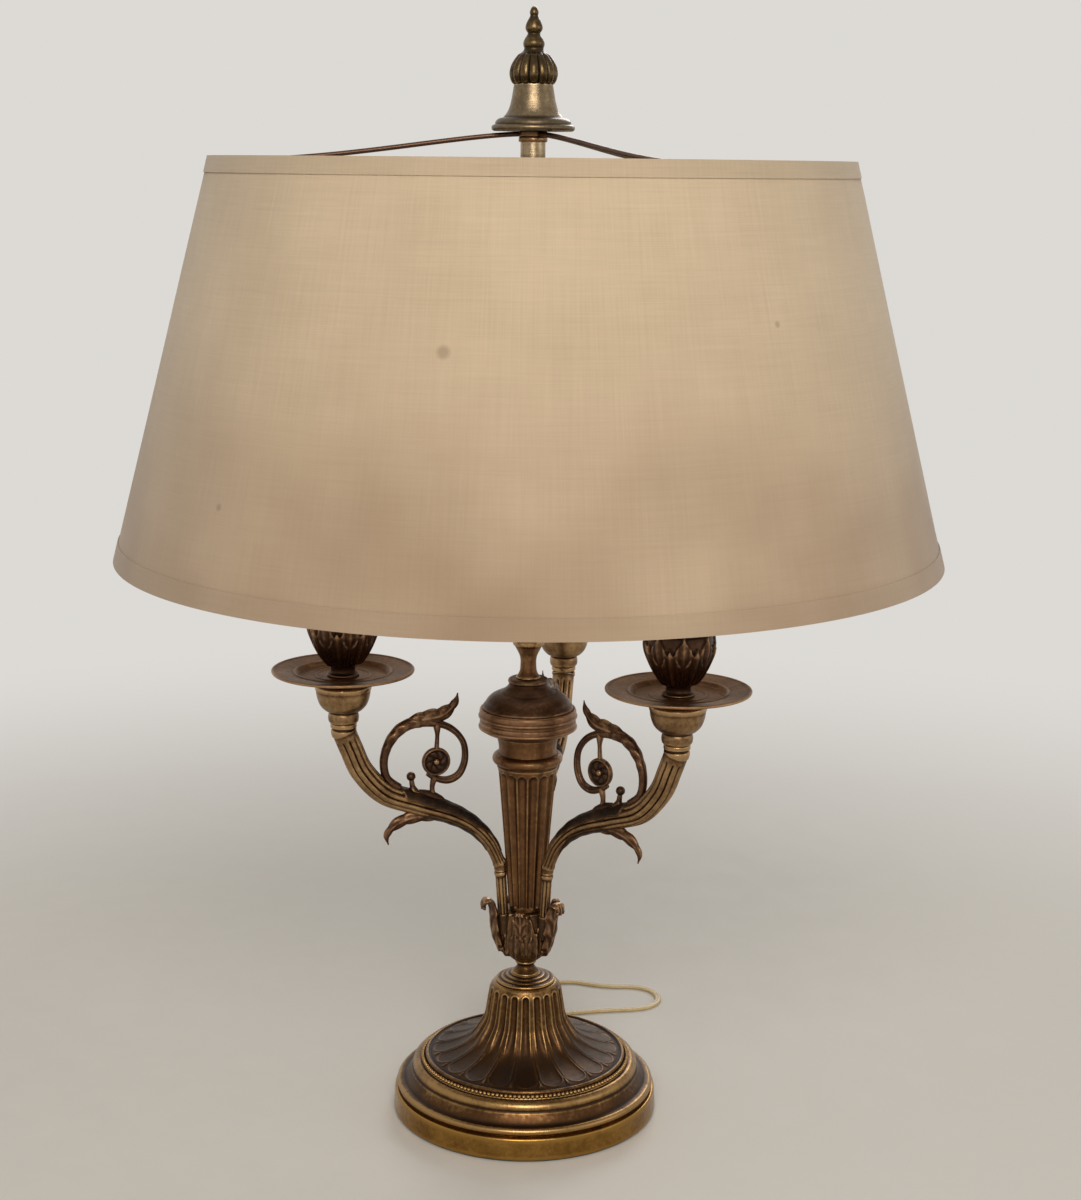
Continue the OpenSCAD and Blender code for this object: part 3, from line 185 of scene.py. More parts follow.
def worn(p, ring_rows, scale, rounds):
    """From 0 in a recess to 1 on an edge, by how far each point stands out of its blurred surroundings."""
    q = p.copy()
    for _ in range(rounds):
        q = 0.4 * q + 0.3 * blurred(q, 0, ring_rows) + 0.3 * blurred(q, 1, True)
    out = unit(np.cross(slopes(p, 1, True), slopes(p, 0, ring_rows)))
    return np.clip(0.5 + 0.5 * ((p - q) * out).sum(2) / scale, 0, 1)


def skin(p, ring_rows=False, caps=False, scale=0.16, rounds=14):
    """A part made of one grid of points: rows along it, columns round it."""
    rows, cols = p.shape[:2]
    r, c = np.meshgrid(np.arange(rows if ring_rows else rows - 1), np.arange(cols), indexing="ij")
    r2, c2 = (r + 1) % rows, (c + 1) % cols
    faces = [np.stack([r * cols + c, r * cols + c2, r2 * cols + c2, r2 * cols + c], -1).reshape(-1, 4)]
    wear = worn(p, ring_rows, scale, rounds)
    points, wear = [p.reshape(-1, 3)], [wear.ravel()]
    if caps:
        ring = np.arange(cols)
        for row, turn in ((0, 1), (rows - 1, -1)):
            hub = np.full(cols, rows * cols + len(points) - 1)
            points.append(p[row].mean(0)[None])
            wear.append([0.5])
            edge, nxt = row * cols + ring, row * cols + np.roll(ring, -1)
            faces.append(np.stack([hub, nxt, edge] if turn == 1 else [hub, edge, nxt], -1))
    return {"p": np.vstack(points), "f": faces, "w": np.concatenate(wear)}


def dulled(part, mask):
    """Takes a mask, or one number everywhere, off the part's wear; below 0 it brightens."""
    mask = np.ravel(mask)
    part["w"][:mask.size if mask.size > 1 else None] -= mask
    return part


def worked(rule, *grid):
    """A rule worked out over a grid; a plain number stands for itself everywhere."""
    return rule(*grid) if callable(rule) else rule + 0 * grid[0]


def lathe(line, cols, relief=0, dull=0, ring=True, **wear):
    """Turns an outline about Z. relief pushes points out and dull takes wear off.

    Both are numbers, or rules that take angle, distance along, radius and height.
    """
    way = unit(np.gradient(line, axis=0))
    th, s = np.meshgrid(around(cols), along(line))
    r, z = np.repeat(line[:, :1], cols, 1), np.repeat(line[:, 1:], cols, 1)
    h = worked(relief, th, s, r, z)
    mask = worked(dull, th, s, r, z)
    r, z = r + h * way[:, 1:], z - h * way[:, :1]
    return dulled(skin(polar(r, th, z), ring_rows=ring, caps=not ring, **wear), mask)


def rod(path, radii, ref, cols, aspect=1.0, relief=0, section=None, dull=0, **wear):
    """A bar along a 3-D path, with angle 0 along cross(ref, heading).

    relief and dull take angle, share of the length, distance along and radius.
    """
    heading = unit(np.gradient(path, axis=0))
    side = unit(np.cross(np.asarray(ref, float)[None], heading))
    up = np.cross(heading, side)
    d = along(path)
    ph, t = np.meshgrid(around(cols), d / d[-1])
    d = d[:, None] + 0 * ph
    rad = np.repeat(np.broadcast_to(np.asarray(radii, float), len(path))[:, None], cols, 1)
    if section is None:
        h = worked(relief, ph, t, d, rad)
        a, b = (rad + h) * np.cos(ph), (rad * aspect + h) * np.sin(ph)
    else:
        a, b = (np.broadcast_to(x, ph.shape) for x in section)
    p = path[:, None] + a[..., None] * side[:, None] + b[..., None] * up[:, None]
    return dulled(skin(p, caps=True, **wear), worked(dull, ph, t, d, rad))


def moved(part, matrix):
    m = np.array(matrix)
    return {**part, "p": part["p"] @ m[:3, :3].T + m[:3, 3]}


def turned(part, degrees, axis="Z"):
    return moved(part, Matrix.Rotation(math.radians(degrees), 4, axis))


def shifted(part, x, y=0, z=0):
    return moved(part, Matrix.Translation((x, y, z)))


def ball(r, x, y, z, rows=8, cols=12, wear=0.9):
    """A ball that is lighter on its upper side: partly rubbed wear, partly a painted highlight."""
    th, k = np.meshgrid(around(cols), np.radians(np.linspace(-90, 90, rows)))
    part = skin(polar(r * np.cos(k), th, r * np.sin(k)))
    part["w"] = wear * (0.5 + 0.5 * np.clip(part["p"][:, 2] / r, -1, 1))
    return shifted(part, x, y, z)


SHARP_ANGLE = math.radians(60)


def piece(name, parts, material, stands_for, body="lamp", uv=None):
    """Makes one object of the parts, in place of one or more of the frame's nodes."""
    parts = parts if isinstance(parts, list) else [parts]
    count = np.cumsum([0] + [len(x["p"]) for x in parts])
    faces = [f + base for x, base in zip(parts, count) for f in x["f"]]
    points = np.vstack([x["p"] for x in parts]) * 0.001
    sizes = np.concatenate([np.full(len(f), f.shape[1]) for f in faces])
    corners = np.concatenate([f.ravel() for f in faces])
    mesh = bpy.data.meshes.new(name)
    mesh.vertices.add(len(points))
    mesh.vertices.foreach_set("co", points.ravel())
    mesh.loops.add(len(corners))
    mesh.loops.foreach_set("vertex_index", corners.astype(np.int32))
    mesh.polygons.add(len(sizes))
    mesh.polygons.foreach_set("loop_start", np.r_[0, np.cumsum(sizes)[:-1]].astype(np.int32))
    mesh.polygons.foreach_set("use_smooth", np.ones(len(sizes), bool))
    mesh.update(calc_edges=True)
    mesh.validate()
    wear = mesh.attributes.new("wear", "FLOAT", "POINT")
    wear.data.foreach_set("value", np.concatenate([x["w"] for x in parts]).astype(np.float32))
    if uv is not None:
        layer = mesh.uv_layers.new(name="cloth")
        layer.data.foreach_set("uv", uv[corners].astype(np.float32).ravel())
    mesh.set_sharp_from_angle(angle=SHARP_ANGLE)
    mesh.materials.append(material)
    made = bpy.data.objects.new(name, mesh)
    scene.collection.objects.link(made)
    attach(made, body)
    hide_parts(*([stands_for] if isinstance(stands_for, str) else stands_for))
    return made


# ------------ carved forms


def channels(th, s, r, n, s0, s1, fill, phase=0.5):
    """How far each point lies inside a U-ended channel, the half-width there, and the way across."""
    pitch = TAU / n
    x = ((th / pitch + phase) % 1 - 0.5) * pitch * r
    w = fill * 0.5 * pitch * r
    y = np.where(s < s0 + w, s0 + w - s, np.where(s > s1 - w, s - s1 + w, 0))
    return w - np.hypot(x, y), w, x


def reeds(angle, n, deep):
    """Round reeds side by side: 0 on top, -deep in the groove."""
    a = ((angle * n / TAU) % 1 - 0.5) * 2
    return deep * (np.sqrt(1 - 0.96 * a * a) - 1) / 0.8


def band(x, at, half, soft=0.5):
    return smooth((half - np.abs(x - at)) / soft + 0.5)


# ------------ materials


def feed(node, key, value):
    """Links a socket to a node's input, or sets the input to a plain value."""
    if isinstance(value, bpy.types.NodeSocket):
        node.id_data.links.new(value, node.inputs[key])
    else:
        node.inputs[key].default_value = value


def put(tree, kind, inputs=None, out=0, **settings):
    """Adds a shader node and gives back one of its outputs."""
    node = tree.nodes.new("ShaderNode" + kind)
    for key, value in settings.items():
        setattr(node, key, value)
    for key, value in (inputs or {}).items():
        feed(node, key, value)
    return node.outputs[out]


def calc(tree, op, a, b=0.0, clamp=False):
    return put(tree, "Math", {0: a, 1: b}, operation=op, use_clamp=clamp)


def blend(tree, fac, a, b):
    a, b = (x if isinstance(x, bpy.types.NodeSocket) else (*x, 1) for x in (a, b))
    return put(tree, "Mix", {0: fac, 6: a, 7: b}, out=2, data_type="RGBA")


def total(tree, *terms):
    """The sum of the terms, each a value and its weight."""
    scaled = [calc(tree, "MULTIPLY", value, weight) for value, weight in terms]
    whole = scaled[0]
    for term in scaled[1:]:
        whole = calc(tree, "ADD", whole, term)
    return whole


def swing(tree, value, source, amount):
    """The value, moved up and down by a source that runs from 0 to 1."""
    return calc(tree, "ADD", value, calc(tree, "MULTIPLY", calc(tree, "SUBTRACT", source, 0.5), amount))


def spread(tree, value, low, high, at_low, at_high, **settings):
    return put(tree, "MapRange", {0: value, 1: low, 2: high, 3: at_low, 4: at_high}, **settings)


def worn_edges(tree):
    """What worn() found for each point."""
    return put(tree, "Attribute", out=2, attribute_name="wear")


def ramp(tree, fac, stops):
    node = tree.nodes.new("ShaderNodeValToRGB")
    feed(node, 0, fac)
    points = node.color_ramp.elements
    while len(points) < len(stops):
        points.new(0.5)
    for point, (at, colour) in zip(points, stops):
        point.position = at
        point.color = (*colour, 1) if hasattr(colour, "__len__") else (colour, colour, colour, 1)
    return node.outputs[0]


def start(name):
    mat = bpy.data.materials.new(name)
    mat.use_nodes = True
    tree = mat.node_tree
    place = put(tree, "TexCoord", out=3)
    return mat, tree, tree.nodes["Principled BSDF"], place


def noise(tree, place, scale, detail, rough=0.55, stretch=None):
    if stretch:
        place = put(tree, "Mapping", {"Vector": place, "Scale": stretch})
    return put(tree, "TexNoise", {"Vector": place, "Scale": scale, "Detail": detail, "Roughness": rough})


def bump(tree, shader, height, strength, distance):
    feed(shader, "Normal", put(tree, "Bump", {"Height": height, "Strength": strength, "Distance": distance}))


def aged_metal(name, recess, body, edge, polish, grime, carved=True, turned_marks=0.0):
    """Cast and patinated metal: dark in its recesses, rubbed bright on its edges."""
    mat, tree, shader, place = start(name)
    cloud = noise(tree, place, 55.0, 3.0)
    cast = noise(tree, place, 420.0, 5.0, 0.62)
    grit = noise(tree, place, 2100.0, 2.0)
    rub = swing(tree, swing(tree, 0.5, cloud, 0.55), cast, 0.45)
    if carved:
        rub = swing(tree, rub, worn_edges(tree), 0.8)
    colour = ramp(tree, rub, [(0.1, recess), (0.4, [0.62 * c for c in body]), (0.56, body), (0.86, edge)])
    colour = blend(tree, calc(tree, "MULTIPLY", grit, 0.35), colour, recess)
    feed(shader, "Base Color", colour)
    feed(shader, "Metallic", ramp(tree, rub, [(0.12, 0.7), (0.45, 0.95), (0.7, 1.0)]))
    rough = swing(tree, spread(tree, rub, 0.15, 0.9, grime, polish), grit, 0.18)
    feed(shader, "Roughness", rough)
    grains = [(cast, 0.8), (grit, 0.25)]
    if turned_marks:
        grains.append((noise(tree, place, 1.0, 2.0, 0.7, stretch=(9, 9, 2600)), turned_marks))
    bump(tree, shader, total(tree, *grains), 0.35, 0.0003)
    return mat


RECESS = (0.018, 0.009, 0.005)
bronze = aged_metal("aged_bronze", RECESS, (0.168, 0.09, 0.042), (0.5, 0.315, 0.15), 0.27, 0.55)
foot_bronze = aged_metal(
    "brown_bronze", (0.012, 0.006, 0.003), (0.098, 0.045, 0.0165), (0.4, 0.24, 0.092), 0.26, 0.5)
# Painted light: a lighter copy of the bronze for the shaft, necking ring and stem baluster, brightened
# because the lampshade keeps light off them
column_bronze_painted_light = aged_metal("bronze_painted_lighter", RECESS, (0.225, 0.108, 0.045), (0.52, 0.32, 0.15), 0.27, 0.52)
knob_bronze = aged_metal(
    "olive_bronze", (0.012, 0.008, 0.004), (0.088, 0.056, 0.025), (0.34, 0.24, 0.11), 0.19, 0.4)
wire_bronze = aged_metal(
    "dark_wire", (0.01, 0.006, 0.004), (0.04, 0.021, 0.014), (0.13, 0.072, 0.048), 0.34, 0.6)
# Painted light: a still lighter copy of the bronze for the drip pans and the cap's drum, which lie under the
# lampshade, in its shade
pan_bronze_painted_light = aged_metal(
    "bronze_painted_lighter_under_shade", (0.022, 0.011, 0.006), (0.3, 0.155, 0.078), (0.52, 0.32, 0.17), 0.3, 0.5)
dark = aged_metal("dark_bronze", (0.014, 0.007, 0.005), (0.115, 0.057, 0.031), (0.4, 0.235, 0.12), 0.3, 0.52)
brass = aged_metal(
    "satin_brass", (0.03, 0.013, 0.003), (0.125, 0.054, 0.01), (0.4, 0.22, 0.055), 0.2, 0.4, turned_marks=1.2)
brass_light = aged_metal(
    "rubbed_brass", (0.052, 0.035, 0.017), (0.27, 0.198, 0.118), (0.62, 0.485, 0.31), 0.18, 0.38,
    turned_marks=0.9)
brass_plain = aged_metal(
    "brass_fittings", (0.15, 0.09, 0.035), (0.56, 0.4, 0.18), (0.78, 0.6, 0.32), 0.2, 0.4, carved=False)
steel = aged_metal(
    "zinc_plated_steel", (0.16, 0.15, 0.13), (0.42, 0.41, 0.39), (0.7, 0.7, 0.68), 0.3, 0.5, carved=False)
iron = aged_metal(
    "cast_iron", (0.02, 0.018, 0.016), (0.07, 0.066, 0.062), (0.16, 0.13, 0.11), 0.5, 0.75, carved=False)


def soft_matter(name, low, high, rough, scale, coat=0.0, depth=0.2, sheen=0.0):
    """Plastic, felt, card and the like: two close colours, uneven gloss and a fine surface."""
    mat, tree, shader, place = start(name)
    cloud = noise(tree, place, scale * 0.15, 3.0)
    grain = noise(tree, place, scale, 4.0, 0.65)
    mix = total(tree, (cloud, 0.5), (grain, 0.5))
    feed(shader, "Base Color", ramp(tree, mix, [(0.3, low), (0.7, high)]))
    feed(shader, "Roughness", spread(tree, mix, 0.2, 0.8, rough - 0.1, rough + 0.1))
    feed(shader, "Coat Weight", coat)
    feed(shader, "Sheen Weight", sheen)
    bump(tree, shader, grain, depth, 0.0002)
    return mat


felt = soft_matter(
    "green_felt", (0.02, 0.045, 0.026), (0.045, 0.085, 0.052), 0.9, 1400.0, depth=0.8, sheen=0.6)
brown_plastic = soft_matter("brown_bakelite", (0.04, 0.017, 0.009), (0.07, 0.032, 0.017), 0.34, 500.0, 0.3)
black_plastic = soft_matter("black_phenolic", (0.01, 0.01, 0.01), (0.022, 0.021, 0.02), 0.45, 600.0, 0.1)
ivory = soft_matter("ivory_tube", (0.5, 0.43, 0.3), (0.68, 0.61, 0.46), 0.55, 220.0)
wire_cover = soft_matter("wire_insulation", (0.26, 0.18, 0.08), (0.42, 0.3, 0.14), 0.45, 500.0)
frosted = soft_matter("frosted_bulb", (0.74, 0.72, 0.67), (0.86, 0.85, 0.81), 0.38, 700.0, 0.25, 0.12)

# Age spots on the shade's front: x, z and radius in metres, and the cone that they lie on
AGE_SPOTS = [(-0.045, 0.484, 0.002), (0.121, 0.496, 0.001), (-0.16, 0.401, 0.0011)]
SHADE_FRONT_R, SHADE_FRONT_Z, SHADE_SLOPE = 0.182, 0.5764, 0.2562


def make_linen(name, low, high, tinted_and_spotted=True):
    """Woven linen with threads and slubs both ways; with the flag set, it turns darker and browner towards
    the bottom, in patches, and has a few spots.
    """
    mat, tree, shader, place = start(name)
    cloth = put(tree, "UVMap", uv_map="cloth")

    def threads(pitch, stretch):
        line = noise(tree, cloth, 1.0, 2.0, 0.6, stretch=stretch)
        axis = put(tree, "SeparateXYZ", {0: cloth}, out=0 if stretch[0] > stretch[1] else 1)
        wave = calc(tree, "SINE", calc(tree, "MULTIPLY", axis, TAU / pitch))
        return line, wave

    warp, warp_wave = threads(0.00062, (1500, 22, 1))
    weft, weft_wave = threads(0.00058, (26, 1500, 1))
    slub_across = noise(tree, cloth, 1.0, 3.0, 0.6, stretch=(14, 420, 1))
    slub_up = noise(tree, cloth, 1.0, 3.0, 0.6, stretch=(420, 12, 1))
    cloud = noise(tree, cloth, 16.0, 3.0)
    fine = total(tree, (warp, 0.5), (weft, 0.5))
    slubs = total(tree, (slub_across, 0.5), (slub_up, 0.5))
    tone = total(tree, (fine, 0.4), (slubs, 0.3), (cloud, 0.3))
    colour = ramp(tree, tone, [(0.3, low), (0.7, high)])
    if tinted_and_spotted:
        # Darker and browner towards the bottom, in patches
        height = put(tree, "SeparateXYZ", {0: place}, out=2)
        fade = spread(tree, height, 0.35, 0.52, 1.0, 0.0, interpolation_type="SMOOTHSTEP")
        patches = spread(tree, noise(tree, cloth, 9.0, 2.0), 0.3, 0.7, 0.35, 0.95)
        colour = blend(tree, calc(tree, "MULTIPLY", fade, patches), colour, (0.33, 0.215, 0.135))
        for x, z, size in AGE_SPOTS:
            y = -math.sqrt((SHADE_FRONT_R + (SHADE_FRONT_Z - z) * SHADE_SLOPE) ** 2 - x * x)
            gap = put(tree, "VectorMath", {0: place, 1: (x, y, z)}, out=1, operation="DISTANCE")
            spot = spread(tree, gap, size, size * 2.2, 0.42, 0.0)
            colour = blend(tree, spot, colour, (0.2, 0.13, 0.08))
    feed(shader, "Base Color", colour)
    feed(shader, "Roughness", spread(tree, tone, 0.3, 0.7, 0.92, 0.78))
    feed(shader, "Sheen Weight", 0.25)
    feed(shader, "Sheen Roughness", 0.6)
    weave = total(tree, (warp_wave, 0.12), (weft_wave, 0.12), (fine, 1.0), (slubs, 0.8))
    bump(tree, shader, weave, 0.3, 0.0003)
    return mat


LINEN_LOW, LINEN_HIGH = (0.5, 0.385, 0.255), (0.7, 0.55, 0.38)
linen = make_linen("linen", LINEN_LOW, LINEN_HIGH)
linen_tape = make_linen("linen_tape", [0.86 * c for c in LINEN_LOW], [0.88 * c for c in LINEN_HIGH])


def make_flex():
    """Clear gold flex: strands show as fine slanting lines under a glossy cover."""
    mat, tree, shader, place = start("gold_flex")
    strands = noise(tree, place, 1.0, 2.0, 0.6, stretch=(900, 900, 900))
    cloud = noise(tree, place, 60.0, 3.0)
    # The groove between the cores is painted darker and the rounded cores lighter: painted shade and painted
    # highlight
    mix = swing(tree, total(tree, (strands, 0.6), (cloud, 0.3)), worn_edges(tree), 0.5)
    tones = [(0.25, (0.2, 0.125, 0.045)), (0.5, (0.46, 0.32, 0.13)), (0.75, (0.66, 0.5, 0.24))]
    feed(shader, "Base Color", ramp(tree, mix, tones))
    feed(shader, "Roughness", spread(tree, cloud, 0.3, 0.7, 0.26, 0.4))
    feed(shader, "Coat Weight", 0.35)
    feed(shader, "Coat Roughness", 0.2)
    bump(tree, shader, strands, 0.25, 0.0002)
    return mat


flex = make_flex()

# ------------ cord

FOOT_R, REST_Z = 81.0, 1.2
CORD_W, CORD_T, FLEX_COLS = 4.4, 2.3, 20
AT_HOLE, AT_ENTRY, IN_COIL, AT_CAP = 4.8, 2.8, 9.95, 17.1
COIL_AT, COIL_R, COIL_Z = (2.5, FOOT_R + 27.6), 22.5, 0.8
LAYERS, TURNS, STEPS_A_TURN = 5, 9 + 97 / 360, 40
# Route points as in the frame: x, distance behind the foot's edge, height above the resting cord
TO_SWITCH = [
    (-26, 9.6, AT_HOLE), (-26.7, 12.1, AT_HOLE), (-28, 16.2, 4.2), (-29.2, 22.4, 2.2), (-29.8, 28.6, 0.6),
    (-28.7, 36.2, 0), (-26.8, 41.3, 0.2), (-24.1, 45.9, 0.9), (-20.5, 51.2, 2), (-16.5, 57, 2.7),
    (-13.4, 61.9, AT_ENTRY)]
TO_COIL = [
    (13.4, 100.1, AT_ENTRY), (15.6, 103.3, 2.6), (21, 108.7, 1.2), (27.9, 112, 0.2), (35.5, 112.6, 0),
    (42, 111.1, 0), (49, 108.4, 0), (57, 105.8, 0), (66, 104.5, 0), (75, 104.2, 0), (85.2, 101.6, 0),
    (92.7, 94.2, 0), (95.4, 84, 0), (92.7, 73.8, 0), (85.2, 66.4, 0), (75, 63.6, 0), (64, 62.2, 0),
    (50, 60.2, 0), (36, 57.4, 0), (22, 54.6, 0.2), (10.5, 52.7, 0.6), (2.5, 52.3, COIL_Z - 0.05)]
TO_PLUG = [
    (-22, 24.6, IN_COIL), (-19.7, 17.9, IN_COIL + 0.8), (-13.2, 11.4, IN_COIL + 2.2),
    (-4.3, 9, IN_COIL + 2.6), (4.6, 11.4, IN_COIL + 3.6), (11.1, 17.9, IN_COIL + 5.2),
    (13.4, 25.6, AT_CAP - 0.4), (13.4, 29.4, AT_CAP)]


def world(route):
    return np.array(route, float) + (0, FOOT_R, REST_Z)


def coil_turns():
    """Flat layers of two turns each, wound from the lowest up, ending on the top layer's outer turn."""
    a = np.linspace(0, TURNS, round(TURNS * STEPS_A_TURN))
    layer = np.minimum(np.floor(a / 2), LAYERS - 1)
    share = a - 2 * layer
    leaving = smooth((share - 1.75) / 0.5) * (layer < LAYERS - 1)
    arriving = (smooth((share + 0.25) / 0.5) - 1) * (layer > 0)
    z = COIL_Z + CORD_T / 2 + CORD_T * (layer + leaving + arriving)
    crossing = smooth((share - 0.75) / 0.5)
    side = np.where(layer % 2 == 0, 1 - 2 * crossing, 2 * crossing - 1)
    top_side = 1 - 2 * smooth(share / 0.5) * (1 - smooth((share - 0.65) / 0.5))
    r = COIL_R + CORD_W / 2 * np.where(layer == LAYERS - 1, top_side, side)
    th = TAU * (a + 0.25)
    return polar(r, th, z) + (*COIL_AT, 0)


def flex_section(cols):
    """Twin flex across: two round cores side by side with a shallow groove between them."""
    a = around(cols)
    x = np.sign(np.cos(a)) * np.abs(np.cos(a)) ** 0.8
    y = np.sign(np.sin(a)) * np.sqrt(np.clip(1 - np.abs(x) ** 3.2, 0, 1))
    y *= 1 - 0.26 * peak(x, 0.22)
    return x * CORD_W / 2, y * CORD_T / 2


def make_cord(name, line, step, stands_for):
    path = resample(line, step)
    part = rod(path, 1, (0, 0, 1), FLEX_COLS, section=flex_section(FLEX_COLS))
    return piece(name, part, flex, stands_for), path


out_line = spline(world(TO_SWITCH), 8)
on_line = np.vstack([spline(world(TO_COIL), 10)[:-1], coil_turns()[1:-1], spline(world(TO_PLUG), 10)[1:]])
near_cord, near_path = make_cord("flex_to_switch", out_line, 1.0, "cord_lead")
far_cord, far_path = make_cord("flex_to_plug", on_line, 1.6, ("cord_lead", "cord_coil"))

# ------------ foot

# Radii of the holes round the centre rod, and round the foot's tube and the arms' nipples
ROD_BORE, TUBE_BORE = 3.1, 4.1

foot_band = outline(
    [(75, 1.2), (80.5, 1.2)], [(81.0, 1.8), (80.9, 4.0), (80.5, 12.0), (80.3, 13.9)],
    [(79.8, 14.4), (79.2, 14.5)], [(75, 14.5)])
piece("base_band", lathe(foot_band, 320, scale=0.1), brass, "foot_band")

plinth = outline(
    [(58, 14.5), (77.6, 14.5)], [(77.6, 15.3)], arc(76.75, 17.55, 2.25, -72, 78), [(74.2, 20.0)],
    [(73.1, 20.9), (71.6, 22.8), (70.4, 24.8), (69.9, 26.0)], [(69.3, 26.2)],
    [(69.3, 27.0), (69.3, 28.4), (68.8, 29.8), (67.7, 31.0), (66, 31.8)], [(57.7, 31.8)], [(57.7, 28.8)])
piece("base_plinth", lathe(plinth, 320, scale=0.22), foot_bronze, "foot_plinth")

BEADS, BEAD_R, BEAD_RING_R, BEAD_Z, BEAD_SHINE = 150, 1.3, 63.1, 33.2, 0.38
bead_angles = around(BEADS)
bead_places = polar(BEAD_RING_R, bead_angles, BEAD_Z + 0 * bead_angles)
beads = [dulled(ball(BEAD_R, *place), -BEAD_SHINE) for place in bead_places]
beads.append(lathe(outline([(61.8, 31.8), (64.2, 31.8)], [(64.0, 32.4), (63.0, 32.9), (62.0, 32.4)]), 240))
piece("base_beading", beads, foot_bronze, "bead_ring")

dome = outline(
    [(46, 31.8), (61.7, 31.8)], [(61.7, 34.6)], [(61.3, 35.5), (60.4, 36.0), (59.6, 35.7)], [(58.7, 34.7)],
    [(57.4, 35.4), (54, 36.5), (50, 37.5), (45, 39.0), (40, 41), (36, 43.4), (33, 46), (30.3, 49.6), (28, 53),
     (26.3, 55.8), (25.2, 58), (24.3, 61.5), (23.3, 68), (22.2, 74.6), (21.6, 77.6), (20.5, 79.8),
     (19.6, 81.1), (18.5, 81.8)],
    [(4.2, 81.8)], [(4.2, 79.0)],
    [(16.5, 78.6), (18.6, 68), (20.6, 59), (24.5, 52.5), (29.5, 45), (36, 38.5), (43, 34.2), (46, 32.2)])

TONGUES = 20


def dome_relief(th, s, r, z):
    """Rounded reeds down the bell that open into outlined tongues and darts on the disc."""
    s0, s1 = mark(dome, 56.4, 35.8), mark(dome, 20.9, 78.4)
    bell = smooth((z - 40) / 13)
    d, w, _ = channels(th, s, r, TONGUES, s0, s1, 0.86)
    inside = np.clip(d / w, 0, 1)
    hollow = 0.26 * peak(d, 0.5) - 0.5 * (1 - (1 - inside) ** 2.6) * (d > 0)
    groove, gw, _ = channels(th, s, r, TONGUES, s0, s1, 0.56)
    deep = np.clip(groove / gw, 0, 1)
    flute = 0.3 * peak(groove + 0.45, 0.4) - 1.35 * (1 - (1 - deep) ** 2.2) * (groove > 0)
    _, _, x = channels(th, s, r, TONGUES, s0, s1, 0.86, 0.0)
    run = (s - s0 + 0.4) / 8.5
    dart = smooth((1.55 * (1 - run) - np.abs(x)) / 0.6) * smooth(run * 12)
    zone = window(s, s0 - 1.5, 1.0, s1 + 3.5, 1.5)
    return (hollow * (1 - bell) + flute * bell + 0.45 * dart * (run < 1)) * zone


def dome_dull(th, s, r, z):
    """Dust and grime lie on the flat disc; the bell's edges are rubbed."""
    rim = 0.3 * window(s, mark(dome, 61.7, 32.5), 1.0, mark(dome, 57.6, 35.4), 0.8)
    disc = 0.2 * smooth((50 - z) / 12) * smooth((s - mark(dome, 58.7, 34.7)) / 1.5)
    return disc + rim - 0.1 * smooth((z - 52) / 10)


piece(
    "base_dome", lathe(dome, 640, dome_relief, dull=dome_dull, scale=0.34, rounds=16),
    foot_bronze, "foot_dome")

collar = outline(
    [(TUBE_BORE, 81.8), (17.4, 81.8)], [(18.1, 82.2), (18.2, 82.9), (17.6, 83.5)], [(16.2, 83.6)],
    [(15.2, 83.9), (14.7, 84.6)], [(13.0, 84.8)], [(12.2, 85.2), (11.6, 85.9)], [(9.8, 86.1)],
    [(9.2, 86.5), (9.0, 87.0)], [(TUBE_BORE, 87)], step=0.3)
piece("dome_steps", lathe(collar, 160, scale=0.12), foot_bronze, "dome_collar")

spool = outline(
    [(TUBE_BORE, 87), (8.8, 87)], [(8.7, 87.6)], [(7.2, 88.8), (5.8, 90.3), (5.2, 91.8), (5.5, 92.9)],
    [(6.1, 93.3), (6.6, 94.1), (6.3, 94.9)], [(TUBE_BORE, 95)], step=0.3)
piece("neck_turning", lathe(spool, 96, scale=0.12), foot_bronze, "neck_spool")

# ------------ calyx and column

# Radius and height of each arm's stalk at its foot and at the joint with the arm
STALK_FOOT, STALK_Z, JOINT_R, JOINT_Z = 13.8, 112.0, 16.7, 155.0
LEAN = math.atan((JOINT_R - STALK_FOOT) / (JOINT_Z - STALK_Z))
STALK_LEN = math.hypot(JOINT_R - STALK_FOOT, JOINT_Z - STALK_Z)
ARM_AT = [197.5, 317.5, 77.5]


def on_stalk(part, i):
    part = moved(part, Matrix.Translation((STALK_FOOT, 0, STALK_Z)) @ Matrix.Rotation(LEAN, 4, "Y"))
    return turned(part, ARM_AT[i])


calyx = outline(
    [(TUBE_BORE, 95), (6.4, 95)],
    [(8.2, 96.2), (10.2, 97.8), (13.0, 100.5), (14.8, 103.8), (15.4, 107), (15.5, 110.5), (15.1, 117),
     (14.4, 123), (14.0, 126.6), (13.9, 128)],
    [(TUBE_BORE, 128)], step=0.4)

LEAVES_A_TIER = 8


def calyx_leaf(th, z, turn, foot, high):
    """One tier of eight broad leaves with a fat midrib and three lobes a side."""
    x = ((th * LEAVES_A_TIER / TAU + turn) % 1 - 0.5) * 2.08
    y = np.clip((z - foot) / high, 0, 1)
    wide = smooth((y + 0.08) / 0.3) * (1 - 0.55 * smooth((y - 0.62) / 0.38))
    wide = wide * (0.86 + 0.14 * np.abs(np.cos(3 * math.pi * (y - 0.22 * np.abs(x)))))
    blade = smooth((wide - np.abs(x)) / 0.16) * (z > foot) * smooth((foot + high - z) / 1.2)
    rib = 0.4 * peak(x, 0.15) - 0.3 * peak(np.abs(x) - 0.36, 0.1)
    return blade * (0.75 + rib + 0.16 * np.abs(np.cos(3 * math.pi * (y - 0.3 * np.abs(x)))))


def calyx_relief(th, s, r, z):
    low_tier = calyx_leaf(th, z, 0.0, 98.5, 19.0)
    high_tier = calyx_leaf(th, z, 0.5, 103.0, 25.5)
    h = np.maximum(2.3 * low_tier, 1.75 * high_tier)
    return (h - 1.15) * window(z, 98.0, 2.5, 128.2, 0.8)


